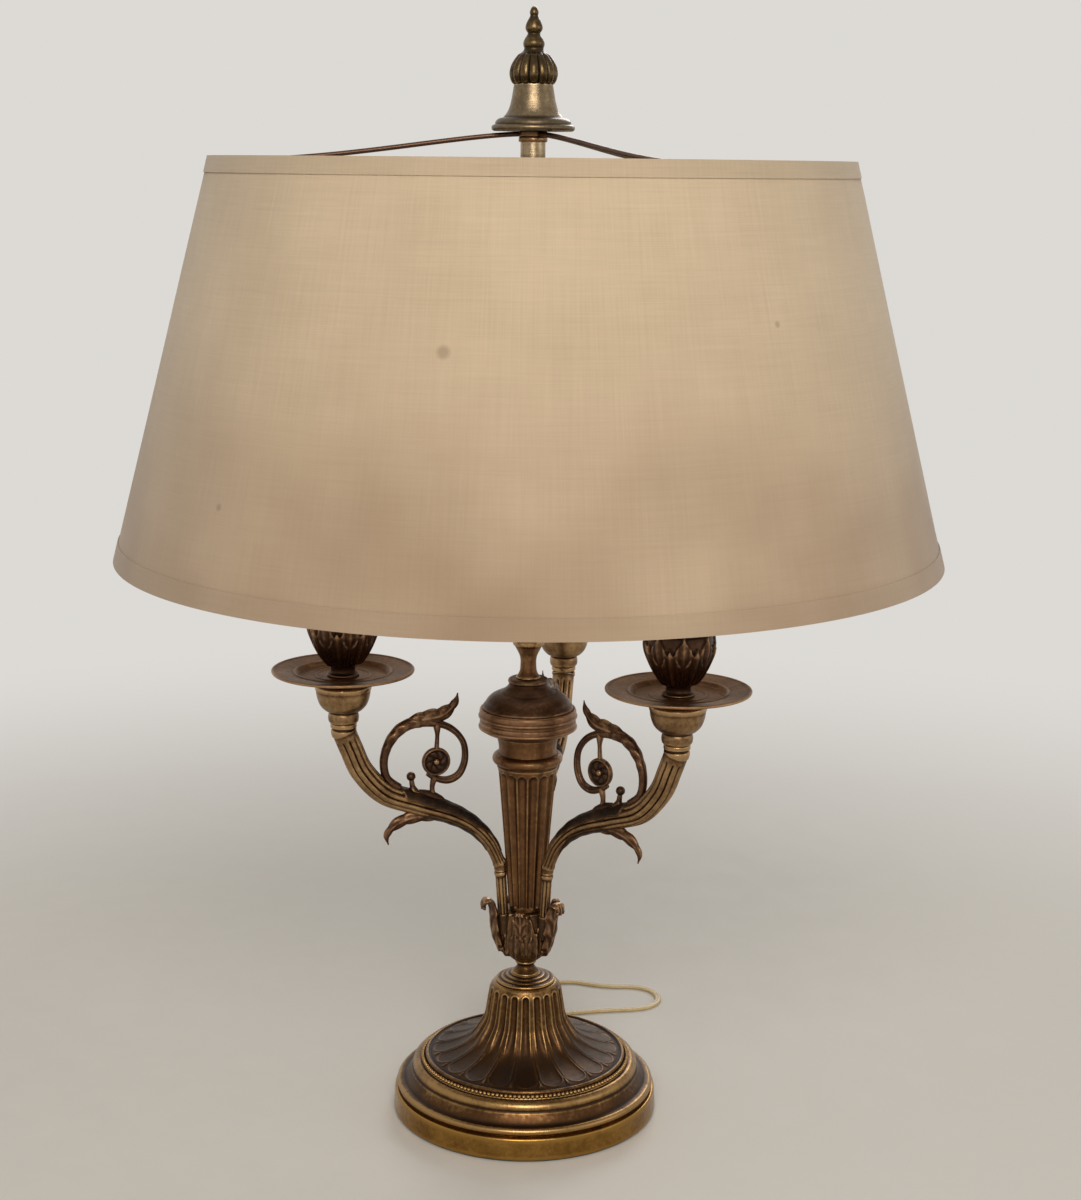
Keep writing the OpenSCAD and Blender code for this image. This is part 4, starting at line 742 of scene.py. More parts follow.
boss = outline([(3.3, 1), (4.0, 1)], [(4.6, 2.2), (4.7, 8), (4.5, 13.6), (4.1, 14.8)], [(3.3, 15)], step=0.4)
calyx_parts = [lathe(calyx, 400, calyx_relief, scale=0.5, rounds=16, dull=0.1)]
calyx_parts += [on_stalk(lathe(boss, 64, dull=0.35, scale=0.5), i) for i in range(3)]
piece("leafed_calyx", calyx_parts, bronze, "calyx")


def curled_leaf(path, width, thick, lobes, deep, curl=0.0):
    """A fleshy leaf along a path in the XZ plane, broad across Y, with veins and a notched edge."""
    cols = 56
    path = upright(resample(spline(path, 12), 0.35))
    ph, t = np.meshgrid(around(cols), along(path) / along(path)[-1])
    across = np.sin(ph)
    notch = 1 - 0.24 * np.abs(np.cos(math.pi * lobes * t)) ** 1.5 * (t > 0.06) * (t < 0.95)
    wide = width(t) * notch
    rib = deep * (peak(across, 0.14) + 0.55 * np.cos(TAU * (lobes * t - 1.1 * np.abs(across))))
    rib = rib * np.abs(np.cos(ph)) ** 0.5 * np.sign(np.cos(ph))
    section = thick(t) * np.cos(ph) + rib - curl * wide * across**2, wide * across
    return rod(path, 1, (0, 1, 0), cols, section=section, scale=0.22, rounds=10)


big_leaf = curled_leaf(
    [(15.4, 103), (17.6, 108), (19.4, 114), (20.4, 120), (20.9, 126), (21.6, 131.2), (23.6, 135.0),
     (26.0, 135.6), (27.4, 133.2), (27.2, 130.6)],
    lambda t: 2.2 + 4.6 * np.sin(math.pi * np.clip(0.1 + 0.68 * t, 0, 1)) ** 0.9 * (1 - 0.58 * t**4),
    lambda t: 1.9 + 0.5 * np.sin(math.pi * t) - 0.9 * t**2, 4, 0.4, 0.05)
small_leaf = curled_leaf(
    [(15.6, 114), (16.4, 120), (16.8, 126), (17.9, 129.8), (19.6, 130.8), (20.8, 129.2)],
    lambda t: 1.6 + 3.4 * np.sin(math.pi * np.clip(0.2 + 0.6 * t, 0, 1)) * (1 - 0.5 * t**3),
    lambda t: 1.5 - 0.6 * t, 3, 0.3)
leaves = [turned(big_leaf, a) for a in ARM_AT] + [turned(small_leaf, a + 60) for a in ARM_AT]
piece("calyx_curls", leaves, dark, "calyx_leaves")

shaft = outline(
    [(ROD_BORE, 128), (10.2, 128)],
    [(10.5, 131), (10.9, 134), (14.3, 178), (17.0, 211), (17.5, 215.6), (18.4, 218.6), (18.5, 219)],
    [(ROD_BORE, 219)])

FLUTES = 16


def shaft_relief(th, s, r, z):
    d, w, _ = channels(th, s, r, FLUTES, mark(shaft, 10.6, 130.0), mark(shaft, 17.4, 216.4), 0.88, 0.0)
    inside = np.clip(d / w, 0, 1)
    return -0.72 * w * (1 - (1 - inside) ** 2.2) * (d > 0)


piece(
    "fluted_shaft", lathe(shaft, 480, shaft_relief, scale=0.5, rounds=18), column_bronze_painted_light,
    "column_shaft")

necking = outline(
    [(ROD_BORE, 219), (17.9, 219)], [(17.9, 219.9)], [(18.5, 220.2), (18.5, 220.8)],
    arc(18.0, 223.6, 3.2, -70, 74), [(17.4, 226.9)],
    [(17.3, 228.6), (17.4, 231), (17.8, 234), (18.5, 236.4), (18.9, 237.6)], [(ROD_BORE, 237.6)], step=0.35)
piece(
    "necking_ring", lathe(necking, 192, scale=0.45, rounds=10), column_bronze_painted_light,
    "column_necking")

drum = outline(
    [(ROD_BORE, 237.6), (18.6, 237.6)], [(20.4, 238.2), (23.5, 239.5), (26.3, 240.7), (28.6, 242.2)],
    [(29.3, 242.5), (29.7, 243.4), (29.3, 244.3)], [(29.0, 244.6), (28.9, 246.6)], [(28.3, 247.2)],
    [(28.3, 248.7)], [(29.3, 249.0), (29.8, 249.9), (29.4, 250.8)],
    [(29.1, 251.1), (29.0, 253.3), (28.4, 254.6)], [(ROD_BORE, 254.6)], step=0.35)
piece("cap_bands", lathe(drum, 224, scale=0.4, rounds=10), pan_bronze_painted_light, "cap_drum")

cap = outline(
    [(ROD_BORE, 254.6), (27.2, 254.6)], [(27.2, 255.8)], [(26.8, 256.4), (26.0, 257.4)],
    [(25.6, 257.9), (24.4, 259.9), (22.2, 262.0), (19.0, 263.7), (16.6, 264.5)], [(16.0, 265.0)],
    [(14.2, 266.2), (12.3, 268.0), (11.2, 270.0)],
    [(11.9, 270.6), (12.1, 271.5), (11.7, 272.5), (10.6, 273.1)], [(ROD_BORE, 273.2)], step=0.35)
piece("cap_crown", lathe(cap, 192, scale=0.4, rounds=10), dark, "cap_dome")

stem_base = outline(
    [(ROD_BORE, 273.2), (7.3, 273.2)],
    [(7.2, 274.0), (6.1, 275.3), (5.1, 277.6), (4.8, 280.6), (4.75, 284), (5.3, 287), (6.7, 290),
     (8.2, 292.8)],
    [(9.2, 293.8), (9.5, 295.4), (9.1, 297.0)], [(8.2, 297.6), (8.0, 299.2)], [(ROD_BORE, 299.2)], step=0.35)
piece("stem_baluster", lathe(stem_base, 112, scale=0.2), column_bronze_painted_light, "stem_spool")

# ------------ arms

REACH, RISE, ARM_Z = 113.0, 99.0, 254.0
ARM_SHAPE = [
    (0.075, 0.18), (0.19, 0.3), (0.335, 0.385), (0.545, 0.465), (0.745, 0.545), (0.885, 0.69), (0.955, 0.84),
    (1, 0.95)]


def on_arm(f):
    return (JOINT_R + (REACH - JOINT_R) * f[0], JOINT_Z + RISE * f[1])


arm_line = np.vstack(
    [[(JOINT_R, JOINT_Z)],
     spline([(JOINT_R + 3 * math.tan(LEAN), JOINT_Z + 3)] + [on_arm(f) for f in ARM_SHAPE], 16),
     [(REACH, ARM_Z)]])
arm_path = resample(upright(arm_line), 0.42)
ARM_LEN = along(arm_path)[-1]
arm_t = along(arm_path) / ARM_LEN
ARM_REEDS, ARM_THIN_R, ARM_THICK_R, FULL_AT = 10, 3.8, 7.0, 0.55
swell = np.where(arm_t < FULL_AT, (1 - np.cos(math.pi * arm_t / FULL_AT)) / 2, 1)
arm_radii = ARM_THIN_R + (ARM_THICK_R - ARM_THIN_R) * swell


def leaf_share(angle, t, half, start_t, end_t, lobes):
    """1 on a long leaf that lies along the arm, pointed at its inner end and scalloped along its edges."""
    y = (t - start_t) / (end_t - start_t)
    wide = half * window(y, -0.05, 0.4, 1, 0.14)
    wide = wide * (1 - 0.1 * np.abs(np.cos(math.pi * lobes * y)))
    return smooth((wide - np.abs(angle)) / 0.1) * (y > 0) * (y < 1)


def arm_leaves(ph, t):
    top = (ph % TAU) - math.pi
    under = (ph + math.pi) % TAU - math.pi
    return leaf_share(top, t, 1.5, 0.07, 0.62, 5), leaf_share(under, t, 1.02, 0.1, 0.5, 4), top, under


def arm_relief(ph, t, d, r):
    """Reeds with two long leaves laid over them, and rings at both ends."""
    rest = ARM_LEN - d
    over, below, top, under = arm_leaves(ph, t)
    ends = window(d, 3.0, 3.0, ARM_LEN - 9.0, 3.0)
    h = reeds(ph + TAU / (2 * ARM_REEDS), ARM_REEDS, 0.24 * r) * ends * (1 - np.maximum(over, below))
    h = h + over * (0.1 * r + 0.25 * peak(top, 0.12))
    h = h + below * (0.05 * r + 0.3 * peak(under, 0.12))
    h = h - 0.22 * (over + below) * (0.5 + 0.5 * np.cos(TAU * (14 * t - 0.9 * np.abs(np.sin(ph)))))
    h = h + 0.7 * band(rest, 1.4, 1.3) - 0.4 * band(rest, 3.4, 0.6) + 0.5 * band(rest, 5.2, 1.1)
    return h + 0.5 * peak(d - 4.0, 1.6)


def arm_dull(ph, t, d, r):
    over, below, _, _ = arm_leaves(ph, t)
    return 0.6 * np.maximum(over, below) - 0.16


arm = rod(arm_path, arm_radii, (0, 1, 0), 168, relief=arm_relief, dull=arm_dull, scale=0.34, rounds=14)


def bar(shape, width, relief=0, aspect=1.0, cols=32, dull=0):
    """A bent bar in the arm's upright plane; width says how thick it is from 0 to 1 along it."""
    path = resample(upright(spline([on_arm(f) for f in shape], 12)), 0.4)
    t = along(path) / along(path)[-1]
    return rod(path, width(t) / 2, (0, 1, 0), cols, aspect, relief, dull=dull, scale=0.26, rounds=10)


def swelling(*stops):
    """Widths at even steps along a bar, joined smoothly."""
    at = np.linspace(0, 1, len(stops))

    def width(t):
        k = np.clip(np.searchsorted(at, t, side="right") - 1, 0, len(stops) - 2)
        lo, hi = np.array(stops)[k], np.array(stops)[k + 1]
        return lo + (hi - lo) * smooth((t - at[k]) * (len(stops) - 1))

    return width


SCROLL = [
    (0.66, 0.57), (0.735, 0.64), (0.75, 0.76), (0.7, 0.88), (0.605, 0.955), (0.475, 0.965), (0.335, 0.92),
    (0.25, 0.83), (0.235, 0.72), (0.27, 0.63), (0.34, 0.595), (0.42, 0.61), (0.475, 0.645)]
TIP = [(0.655, 0.9), (0.6, 0.955), (0.5, 0.985), (0.4, 1.0), (0.335, 1.035), (0.295, 1.08), (0.282, 1.13)]
LOW_LEAF = [
    (0.3, 0.345), (0.42, 0.375), (0.53, 0.385), (0.62, 0.37), (0.69, 0.335), (0.735, 0.28), (0.725, 0.22)]
NECK = [(0.415, 0.95), (0.412, 0.88), (0.417, 0.79)]
FOOT_STALK = [(0.43, 0.62), (0.445, 0.56), (0.44, 0.48)]
MOUND = [(0.6, 0.5), (0.53, 0.52), (0.44, 0.497), (0.33, 0.43)]
ROSETTE, BUD, BUD_FOOT = (0.42, 0.715), (0.58, 0.635), (0.56, 0.525)


def scroll_relief(ph, t, d, r):
    """Smooth on its outer left, leafy over the top, two reeds down the far side."""
    leaf = window(t, 0.18, 0.06, 0.46, 0.05)
    reed = window(t, 0.46, 0.06, 0.97, 0.04)
    across = np.abs(np.sin(ph))
    lobes = 0.3 * np.cos(TAU * (16 * t - 0.6 * across)) * across + 0.25 * np.abs(np.cos(ph))
    return leaf * lobes + reed * reeds(ph, 6, 0.42)


def leafy(lobes, deep):
    """Midrib and veins on both faces, and a scalloped edge."""
    def relief(ph, t, d, r):
        side = np.abs(np.cos(ph))
        rib = peak(side, 0.16) + 0.3 * np.cos(TAU * (lobes * t - 0.8 * side))
        edge = side**3 * (np.abs(np.sin(math.pi * lobes * t)) ** 0.7 - 0.5)
        taper = np.sin(math.pi * np.clip(t, 0, 1)) ** 0.35 * np.minimum(1, r / 2.2)
        return deep * (0.4 * rib + edge) * taper

    return relief


def rosette():
    """A disc with a rolled rim, a ring of petals and a bead at its heart, alike on both faces."""
    half = [
        (0.3, 2.7), (1.2, 2.5), (1.9, 1.7), (2.2, 0.9), (4.0, 1.5), (5.6, 1.3), (6.4, 0.9), (7.1, 1.7),
        (7.9, 1.9), (8.5, 1.3), (8.7, 0)]
    back = [(r, -z) for r, z in half[:-1]]
    line = outline(
        [back[0]], back[1:4], back[4:7], back[7:], [half[-1]], half[-2:-5:-1], half[6:3:-1], half[3::-1],
        step=0.3)

    def relief(th, s, r, z):
        zone = window(r, 2.4, 0.4, 6.5, 0.5)
        return zone * (0.85 * (np.abs(np.cos(3.5 * (th + 0.09 * r))) ** 0.7 - 0.62))

    # The face is dulled out to the rim, and the bead at the heart is lightened: a painted highlight
    def dull(th, s, r, z):
        return 0.3 * window(r, 1.6, 0.6, 7.6, 0.6) - 0.5 * (r < 1.8)

    return lathe(line, 112, relief, dull, ring=False, scale=0.34, rounds=8)


hub = on_arm(ROSETTE)
bud = on_arm(BUD)
scroll = [
    bar(SCROLL, swelling(5.6, 4.9, 5.2, 6.4, 6.2, 4.4, 3.9, 4.3, 4.8, 3.2), scroll_relief, cols=56),
    bar(TIP, swelling(3.0, 6.6, 8.8, 9.6, 8.2, 5.0, 0.9), leafy(5, 0.7), 0.55, 48),
    bar(LOW_LEAF, swelling(2.0, 5.0, 7.0, 7.8, 7.0, 4.6, 0.9), leafy(5, 0.7), 0.62, 48),
    bar(NECK, swelling(5.0, 2.6, 3.0), lambda ph, t, d, r: reeds(ph, 5, 0.2)),
    bar(FOOT_STALK, swelling(4.2, 3.0, 4.4)),
    bar(MOUND, swelling(2.0, 6.0, 6.0, 1.5), leafy(3, 0.25), 0.9, 40, 0.25),
    bar([BUD_FOOT, (0.572, 0.58), BUD], swelling(7.5, 3.2, 2.6)),
    shifted(turned(rosette(), 90, "X"), hub[0], 0, hub[1]), ball(2.75, bud[0], 0, bud[1], 12, 20, 0.65)]

stalk = outline(
    [(2.05, 0), (3.3, 0)], [(3.3, STALK_LEN - 5)],
    [(3.5, STALK_LEN - 4.2), (3.9, STALK_LEN - 3.4), (3.9, STALK_LEN - 2.2), (3.5, STALK_LEN - 1.4)],
    [(3.75, STALK_LEN - 0.2)], [(2.05, STALK_LEN)], step=0.4)


def stalk_relief(th, s, r, z):
    return reeds(th, 8, 0.62) * band(z, STALK_LEN / 2, STALK_LEN / 2 - 5.0, 2)


SIDES = ["left", "right", "rear"]
piece(
    "arm_feet", [on_stalk(lathe(stalk, 72, stalk_relief, scale=0.18), i) for i in range(3)],
    bronze, "arm_stalks")
for i, side in enumerate(SIDES):
    piece(f"reeded_arm_{side}", turned(arm, ARM_AT[i]), bronze, f"arm_{side}")
    piece(
        f"leaf_scroll_{side}", [turned(x, ARM_AT[i]) for x in scroll], dark, f"scroll_{side}")

# ------------ candle fittings

cup = outline(
    [(TUBE_BORE, 254), (7.4, 254)], [(8.6, 255.0), (9.0, 257.4), (8.7, 259.8), (7.9, 261)], [(9.2, 261.3)],
    [(10.8, 262.0), (13.6, 265.0), (15.3, 269.4), (15.9, 273.4)],
    [(16.4, 274.6), (16.5, 276.2), (15.9, 277.2)], [(14.6, 278.4), (13.2, 281)], [(TUBE_BORE, 281)], step=0.4)
pan = outline(
    [(TUBE_BORE, 281), (26.2, 281)], [(27.2, 281.8), (28.2, 283.2)], [(34, 283.9), (40.2, 284.5)],
    [(41.1, 284.8), (41.5, 285.6), (41.2, 286.3), (40.3, 286.4)], [(39.4, 285.9)],
    [(34, 285.5), (29.0, 285.0)], [(28.3, 285.5), (27.4, 285.1)], [(26.6, 284.0), (25.2, 282.7)],
    [(16.5, 282.6)], [(15.8, 283.1), (15.0, 282.6)], [(TUBE_BORE, 282.6)])
candle_cup = outline(
    [(TUBE_BORE, 282.6), (8.8, 282.6)], [(9.4, 283.0), (9.4, 283.5), (8.8, 283.9)],
    [(7.5, 284.6), (7.0, 286.0), (7.2, 288.0)],
    [(8.2, 289.0), (12.4, 293.8), (15.4, 299.0), (17.4, 303.4), (19.2, 308.2), (19.9, 312.2)],
    [(19.5, 315.4), (19.4, 317.6), (20.2, 320.4)], [(21.1, 321.0), (21.2, 322.2), (20.7, 322.6)],
    [(18.9, 322.6)], [(12.2, 302.6)], [(12.2, 299.6)], [(TUBE_BORE, 299.6)], step=0.45)


def cup_relief(th, s, r, z):
    """Two tiers of leaves up the outside of a candle cup."""
    outside = s < mark(candle_cup, 20.2, 320.2)
    tiers = []
    for turn, foot, high, lift in ((0, 287.0, 26.0, 2.1), (0.5, 290.0, 30.5, 1.5)):
        x = ((th * LEAVES_A_TIER / TAU + turn) % 1 - 0.5) * 2.06
        y = np.clip((z - foot) / high, 0, 1)
        wide = smooth((y + 0.05) / 0.35) * (1 - 0.9 * smooth((y - 0.55) / 0.45))
        wide = wide * (0.86 + 0.14 * np.abs(np.cos(3 * math.pi * (y - 0.25 * np.abs(x)))))
        blade = smooth((wide - np.abs(x)) / 0.15) * (z > foot) * (z < foot + high)
        vein = 0.35 * peak(x, 0.13) - 0.28 * peak(np.abs(x) - 0.34, 0.1)
        tiers.append(lift * blade * (0.8 + vein))
    h = np.maximum(*tiers) - 0.8
    return h * window(z, 288.0, 3, 319.5, 1.5) * outside


cup_part = lathe(cup, 112, scale=0.2)
pan_part = lathe(pan, 192, scale=0.45, rounds=8)
candle_part = lathe(candle_cup, 288, cup_relief, scale=0.5, rounds=12)


def at_pan(part, i):
    return turned(shifted(part, REACH), ARM_AT[i])


piece("arm_cups", [at_pan(cup_part, i) for i in range(3)], bronze, "pan_cups")
for i, side in enumerate(SIDES):
    piece(f"dished_pan_{side}", at_pan(pan_part, i), pan_bronze_painted_light, f"drip_pan_{side}")
    piece(f"leafed_cup_{side}", at_pan(candle_part, i), dark, f"candle_cup_{side}")

globe = outline(
    [(0.3, 398.6), (7.9, 398.6)],
    [(8.5, 401.6), (12.6, 409.5), (16.3, 418.1), (17.5, 426.7), (16.6, 438.4), (13.1, 451.7), (7.4, 465.7),
     (2.5, 474.3), (0.3, 476.6)],
    step=1.0)
piece(
    "frosted_bulbs", [at_pan(lathe(globe, 64, ring=False), i) for i in range(3)], frosted,
    "bulb_globes")

# ------------ stem and spider

stem = outline([(ROD_BORE, 299.2), (7.1, 299.2)], [(7.1, 585.6)], [(ROD_BORE, 585.6)], step=2.0, soften=0)
piece("centre_stem", lathe(stem, 96, dull=0.22), brass_light, "stem_tube")
stem_collar = outline(
    [(ROD_BORE, 585.6), (7.9, 585.6)], [(8.2, 586.4), (8.2, 587.8), (7.9, 588.6)], [(ROD_BORE, 588.6)],
    step=0.3)
piece("stem_washer", lathe(stem_collar, 96), dark, "stem_collar")
spider_hub = outline(
    [(ROD_BORE, 588.66), (7.8, 588.66)], [(8.0, 589.2), (8.0, 591.0), (7.8, 591.6)], [(ROD_BORE, 591.6)],
    step=0.3)
piece("spider_washer", lathe(spider_hub, 96), dark, "spider_hub", "shade")

SHADE_LOW, SHADE_TOP, SHADE_Z0, SHADE_Z1 = 241.0, 183.0, 350.0, 576.4
TRIM_T, SHADE_T, RING_R = 0.6, 1.2, 1.6


def shade_r(z):
    return SHADE_LOW + (SHADE_TOP - SHADE_LOW) * (z - SHADE_Z0) / (SHADE_Z1 - SHADE_Z0) - TRIM_T


TOP_RING_Z, LOW_RING_Z = SHADE_Z1 - RING_R - 0.8, SHADE_Z0 + RING_R + 0.8
TOP_RING_AT, LOW_RING_AT = (shade_r(z) - SHADE_T - RING_R - 0.3 for z in (TOP_RING_Z, LOW_RING_Z))


def hoop(r, z, wire):
    th, a = np.meshgrid(around(360), around(16))
    return skin(polar(r + wire * np.cos(a), th, z + wire * np.sin(a)), ring_rows=True)


piece("top_hoop", hoop(TOP_RING_AT, TOP_RING_Z, RING_R), dark, "shade_top_ring", "shade")
piece("bottom_hoop", hoop(LOW_RING_AT, LOW_RING_Z, RING_R), dark, "shade_bottom_ring", "shade")

# Each wire leaves the hub level, drops and meets the top ring level
SPOKE_R0, SPOKE_Z0, SPOKE_WIRE, SPIDER_TURN = 5.4, 590.1, 1.4, 177
way_out = np.linspace(0, 1, 120)
spoke_r = SPOKE_R0 + (TOP_RING_AT - SPOKE_R0) * way_out
spoke_z = SPOKE_Z0 - (SPOKE_Z0 - TOP_RING_Z) * smooth(way_out**0.8)
spoke = rod(upright(np.stack([spoke_r, spoke_z], 1)), SPOKE_WIRE, (0, 1, 0), 16)
spokes = [turned(spoke, SPIDER_TURN + turn) for turn in (0, 120, 240)]
piece("spider_spokes", spokes, wire_bronze, "spider_wires", "shade")

# ------------ shade

SEAM = math.radians(93)
near_seam = SEAM + np.linspace(-11, 11, 45)[:44] / SHADE_LOW
shade_angles = np.sort(np.r_[np.linspace(0, TAU, 640, endpoint=False), near_seam])
SLANT = math.hypot(SHADE_LOW - SHADE_TOP, SHADE_Z1 - SHADE_Z0)
MEAN_R = (SHADE_LOW + SHADE_TOP) / 2


def cloth_wave(th, z):
    """The linen's slight unevenness over its card, and the lap of its rear seam."""
    wave = 0.14 * np.sin(3 * th + 1.1 + z / 90) + 0.1 * np.sin(7 * th - z / 60)
    wave = wave + 0.05 * np.sin(17 * th + z / 25)
    off = ((th - SEAM + math.pi) % TAU - math.pi) * SHADE_LOW
    lap = window(off, -6, 0.8, 7, 5)
    return wave * window(z, 352, 20, 575, 20) - 0.14 + 0.45 * lap


def cone(z0, z1, out0, out1, rows=46):
    """A closed shell of cloth between two heights, and its UV in metres round and up the shade."""
    z = np.linspace(z0, z1, rows)
    th, zz = np.meshgrid(shade_angles, z)
    faces_out = shade_r(zz) + out1 + cloth_wave(th, zz)
    faces_in = shade_r(zz) + out0 + cloth_wave(th, zz) * 0.3
    r = np.vstack([faces_out, faces_in[::-1]])
    zz = np.vstack([zz, zz[::-1]])
    th = np.vstack([th, th])
    part = skin(polar(r, th, zz), ring_rows=True, scale=0.2, rounds=2)
    uv = np.stack([((th - SEAM) % TAU) * MEAN_R, (zz - SHADE_Z0) * SLANT / (SHADE_Z1 - SHADE_Z0)], -1)
    return part, uv.reshape(-1, 2) * 0.001


cover, cover_uv = cone(SHADE_Z0, SHADE_Z1, -SHADE_T, -0.1)
lining = make_linen("shade_lining", (0.62, 0.54, 0.42), (0.8, 0.74, 0.63), tinted_and_spotted=False)
cloth = piece("linen_cover", cover, linen, "shade_cover", "shade", uv=cover_uv)
cloth.data.materials.append(lining)
# Faces that look towards the stem take the lining
faces = cloth.data.polygons
centres, normals = np.zeros(len(faces) * 3), np.zeros(len(faces) * 3)
faces.foreach_get("center", centres)
faces.foreach_get("normal", normals)
outward = (centres * normals).reshape(-1, 3)[:, :2].sum(1)
faces.foreach_set("material_index", (outward < 0).astype(np.int32))

tapes, tape_uv = [], []
for z0, z1 in ((SHADE_Z0, SHADE_Z0 + 11.0), (SHADE_Z1 - 9.0, SHADE_Z1)):
    part, uv = cone(z0, z1, -0.05, TRIM_T - 0.02, rows=10)
    tapes.append(part)
    tape_uv.append(uv)
trims = piece("tape_trims", tapes, linen_tape, "shade_trims", "shade", uv=np.vstack(tape_uv))

# ------------ finial

bell = outline(
    [(8, 591.6), (22.4, 591.6)], [(23.3, 592.2), (23.7, 593.4), (23.3, 594.6), (22.4, 595.1)],
    [(21.5, 595.3)], [(21.6, 595.9), (21.2, 597.1), (20.0, 598.2), (18.4, 598.9)], [(17.2, 599.0)],
    [(16.3, 600.0), (14.9, 601.9), (13.7, 604.4), (12.7, 607.9), (12.0, 611.6), (11.3, 615.8), (11.0, 617.8)],
    [(5.6, 617.8)], [(5.6, 594.6)], [(8, 594.6)], step=0.35)
piece(
    "bell_finial", lathe(bell, 192, scale=0.22, dull=lambda th, s, r, z: 0.5 * smooth((600.6 - z) / 1.6)),
    brass_light, "finial_bell", "finial_bell")

knob = outline(
    [(ROD_BORE, 593.2), (7, 593.2)], [(7, 594.4)], [(5.5, 594.4)], [(5.5, 617.8)], [(10.6, 617.8)],
    [(11.6, 618.5), (12.5, 620.4), (13.0, 623), (12.7, 625.6), (12.0, 627.8), (10.4, 630.7), (8.4, 633.4)],
    [(6.6, 635.0), (5.7, 636.0)], [(5.4, 637.2)], [(5.9, 638.4), (6.0, 640.2), (5.0, 642.6)],
    [(4.0, 644.0), (3.4, 645.3)], [(4.4, 646.6), (4.9, 648.2), (4.4, 650.4), (3.5, 652.4)],
    [(2.5, 654.0), (2.1, 655.2)], [(2.5, 656.2), (2.2, 657.8), (1.2, 659.6), (0.2, 660.0)], step=0.35)

GADROONS = 14


def knob_relief(th, s, r, z):
    zone = band(z, 625.4, 8.6, 2.2) * (s > mark(knob, 10.6, 617.8))
    return zone * (0.07 * r + reeds(th, GADROONS, 0.12 * r))


piece(
    "gadrooned_knob", lathe(knob, 240, knob_relief, scale=0.3, rounds=12), knob_bronze,
    "finial_knob", "finial_knob")

# ------------ tie


def rounded_loop(w, h, r):
    """A rectangle with round corners, as flat points."""
    corners = []
    for turn, x, y in ((0, 1, 1), (90, -1, 1), (180, -1, -1), (270, 1, -1)):
        corners += arc(x * (w / 2 - r), y * (h / 2 - r), r, turn, turn + 90, 6)
    return np.array(corners)


# The strap's width, thickness and corner radius, and how far its middle line lies inside the node's box
STRAP_W, STRAP_T, STRAP_CORNER, STRAP_INSET = 4.8, 0.76, 1.6, 0.4
low, high = (np.array(corner) * 1000 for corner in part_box("cord_tie"))
mid = (low + high) / 2
width, _, height = high - low - 2 * STRAP_INSET
loop = upright(rounded_loop(width, height, STRAP_CORNER)) + mid
across = np.cross(unit(np.roll(loop, -1, 0) - np.roll(loop, 1, 0)), (0, 1, 0))
cos, sin = np.cos(around(16)), np.sin(around(16))
flat_x = STRAP_W / 2 * np.sign(cos) * np.abs(cos) ** 0.5
flat_y = STRAP_T / 2 * np.sign(sin) * np.abs(sin) ** 0.5
strap = loop[:, None] + flat_x[:, None] * np.array([0, 1.0, 0]) + flat_y[:, None] * across[:, None]
tail = np.array([(-3.0, 0, -0.4), (1.5, 0.3, 0.3), (6.0, 0.8, 0.6)]) + (mid[0], mid[1], high[2])
tail = rod(resample(spline(tail, 8), 0.5), 1, (0, 0, 1), 16, section=(flat_x * 0.9, flat_y))
tie_parts = [skin(strap, ring_rows=True), tail]
tie = piece("twist_tie", tie_parts, black_plastic, "cord_tie")

# ------------ carried-over nodes

# Finish, the width in millimetres by which edges are rounded, and the nodes that get both
CARRIED = [
    (steel, 0, ["plate_screws", "clamp_nuts", "foot_tube", "centre_rod", "arm_nipples"]),
    (iron, 0, ["weight_plate"]), (felt, 0.2, ["felt_pad"]), (wire_cover, 0, ["arm_wires", "feed_wire"]),
    (ivory, 0, ["wire_splice"]), (ivory, 0.2, ["candle_sleeves"]), (brass_plain, 0, ["bulb_caps"]),
    (brass_plain, 0.25, ["plug_pins"]), (black_plastic, 0.3, ["lampholders"]),
    (black_plastic, 0.5, ["switch_rocker"]), (brown_plastic, 0.3, ["cord_bushing"]),
    (brown_plastic, 0.6, ["switch_base"]), (brown_plastic, 0.9, ["switch_cover"]),
    (brown_plastic, 1.2, ["plug_body"])]
for finish, rounding, names in CARRIED:
    for node in (nodes[name] for name in names):
        node.data.materials.clear()
        node.data.materials.append(finish)
        if rounding:
            bevel = node.modifiers.new("edge", "BEVEL")
            bevel.width = rounding * 0.001
            bevel.segments = 3
            bevel.limit_method = "ANGLE"
            bevel.angle_limit = math.radians(35)
            bevel.harden_normals = True

# ------------ stage and light

BACKDROP = (0.72, 0.7, 0.67)
FADE_FROM, FADE_TO, FLOOR_HALF = 0.4, 1.3, 6.0


def seen_directly(tree):
    """1 for what the camera, a reflection or a glass shows, 0 for light that falls on the object."""
    path = put(tree, "LightPath").node
    shown = calc(tree, "ADD", path.outputs["Is Camera Ray"], path.outputs["Is Glossy Ray"])
    return calc(tree, "ADD", shown, path.outputs["Is Transmission Ray"], clamp=True)


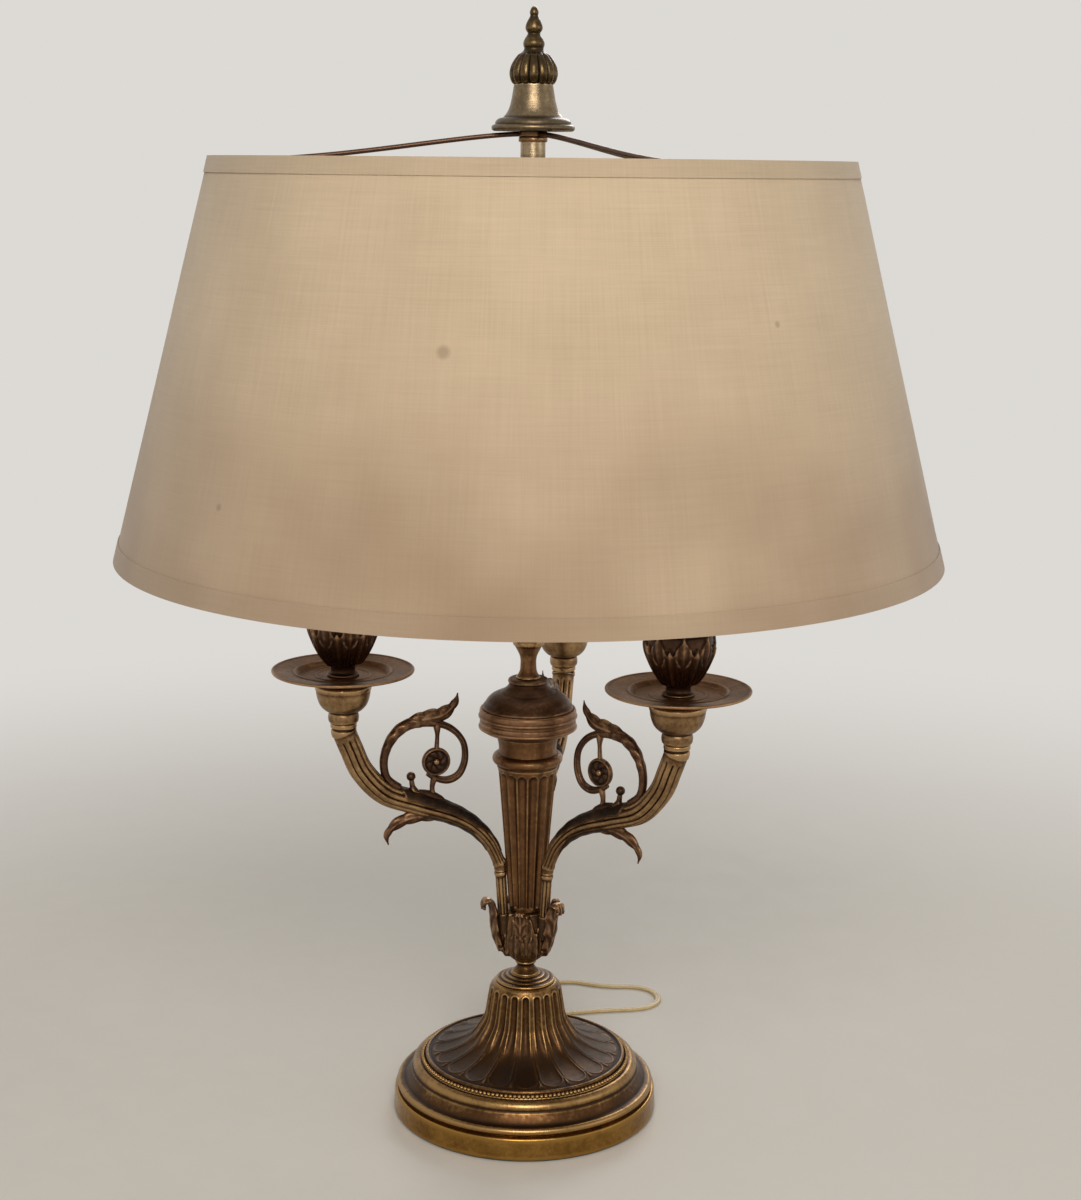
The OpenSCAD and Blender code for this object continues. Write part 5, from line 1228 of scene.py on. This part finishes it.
def make_floor():
    mesh = bpy.data.meshes.new("floor")
    corners = [(x * FLOOR_HALF, y * FLOOR_HALF, 0) for x, y in ((-1, -1), (1, -1), (1, 1), (-1, 1))]
    mesh.from_pydata(corners, [], [(0, 1, 2, 3)])
    mat, tree, shader, place = start("pale_floor")
    grain = noise(tree, place, 30.0, 4.0)
    feed(shader, "Base Color", ramp(tree, grain, [(0.3, (0.7, 0.675, 0.635)), (0.7, (0.73, 0.705, 0.665))]))
    feed(shader, "Roughness", spread(tree, grain, 0.3, 0.7, 0.6, 0.75))
    # Far from the object the floor takes the backdrop's colour, so that no horizon shows
    distance = put(tree, "VectorMath", {0: place}, out=1, operation="LENGTH")
    far = spread(tree, distance, FADE_FROM, FADE_TO, 0.0, 1.0, interpolation_type="SMOOTHSTEP")
    glow = put(tree, "Emission", {"Color": (*BACKDROP, 1)})
    share = calc(tree, "MULTIPLY", far, seen_directly(tree))
    mix = put(tree, "MixShader", {0: share, 1: shader.outputs[0], 2: glow})
    feed(tree.nodes["Material Output"], "Surface", mix)
    mesh.materials.append(mat)
    floor = bpy.data.objects.new("floor", mesh)
    scene.collection.objects.link(floor)


def lamp_light(name, at, aim, power, size, colour=(1, 1, 1)):
    data = bpy.data.lights.new(name, "AREA")
    data.shape = "DISK"
    data.size = size
    data.energy = power
    data.color = colour
    light = bpy.data.objects.new(name, data)
    scene.collection.objects.link(light)
    light.location = at
    light.rotation_mode = "QUATERNION"
    light.rotation_quaternion = (Vector(aim) - Vector(at)).to_track_quat("-Z", "Y")


def make_world():
    sky = bpy.data.worlds.new("studio")
    scene.world = sky
    sky.use_nodes = True
    tree = sky.node_tree
    shine = tree.nodes["Background"]
    feed(shine, "Color", blend(tree, seen_directly(tree), (0.31, 0.295, 0.265), BACKDROP))


make_floor()
make_world()
lamp_light("key", (0.0, -2.0, 1.5), (0, 0, 0.35), 31, 1.5, (1.0, 0.95, 0.89))
lamp_light("fill", (1.9, -0.6, 0.8), (0, 0, 0.3), 2.5, 1.2, (1.0, 0.97, 0.93))
lamp_light("back", (0.4, 1.8, 1.4), (0, 0, 0.4), 10, 1.0)
scene.view_settings.view_transform = "Standard"
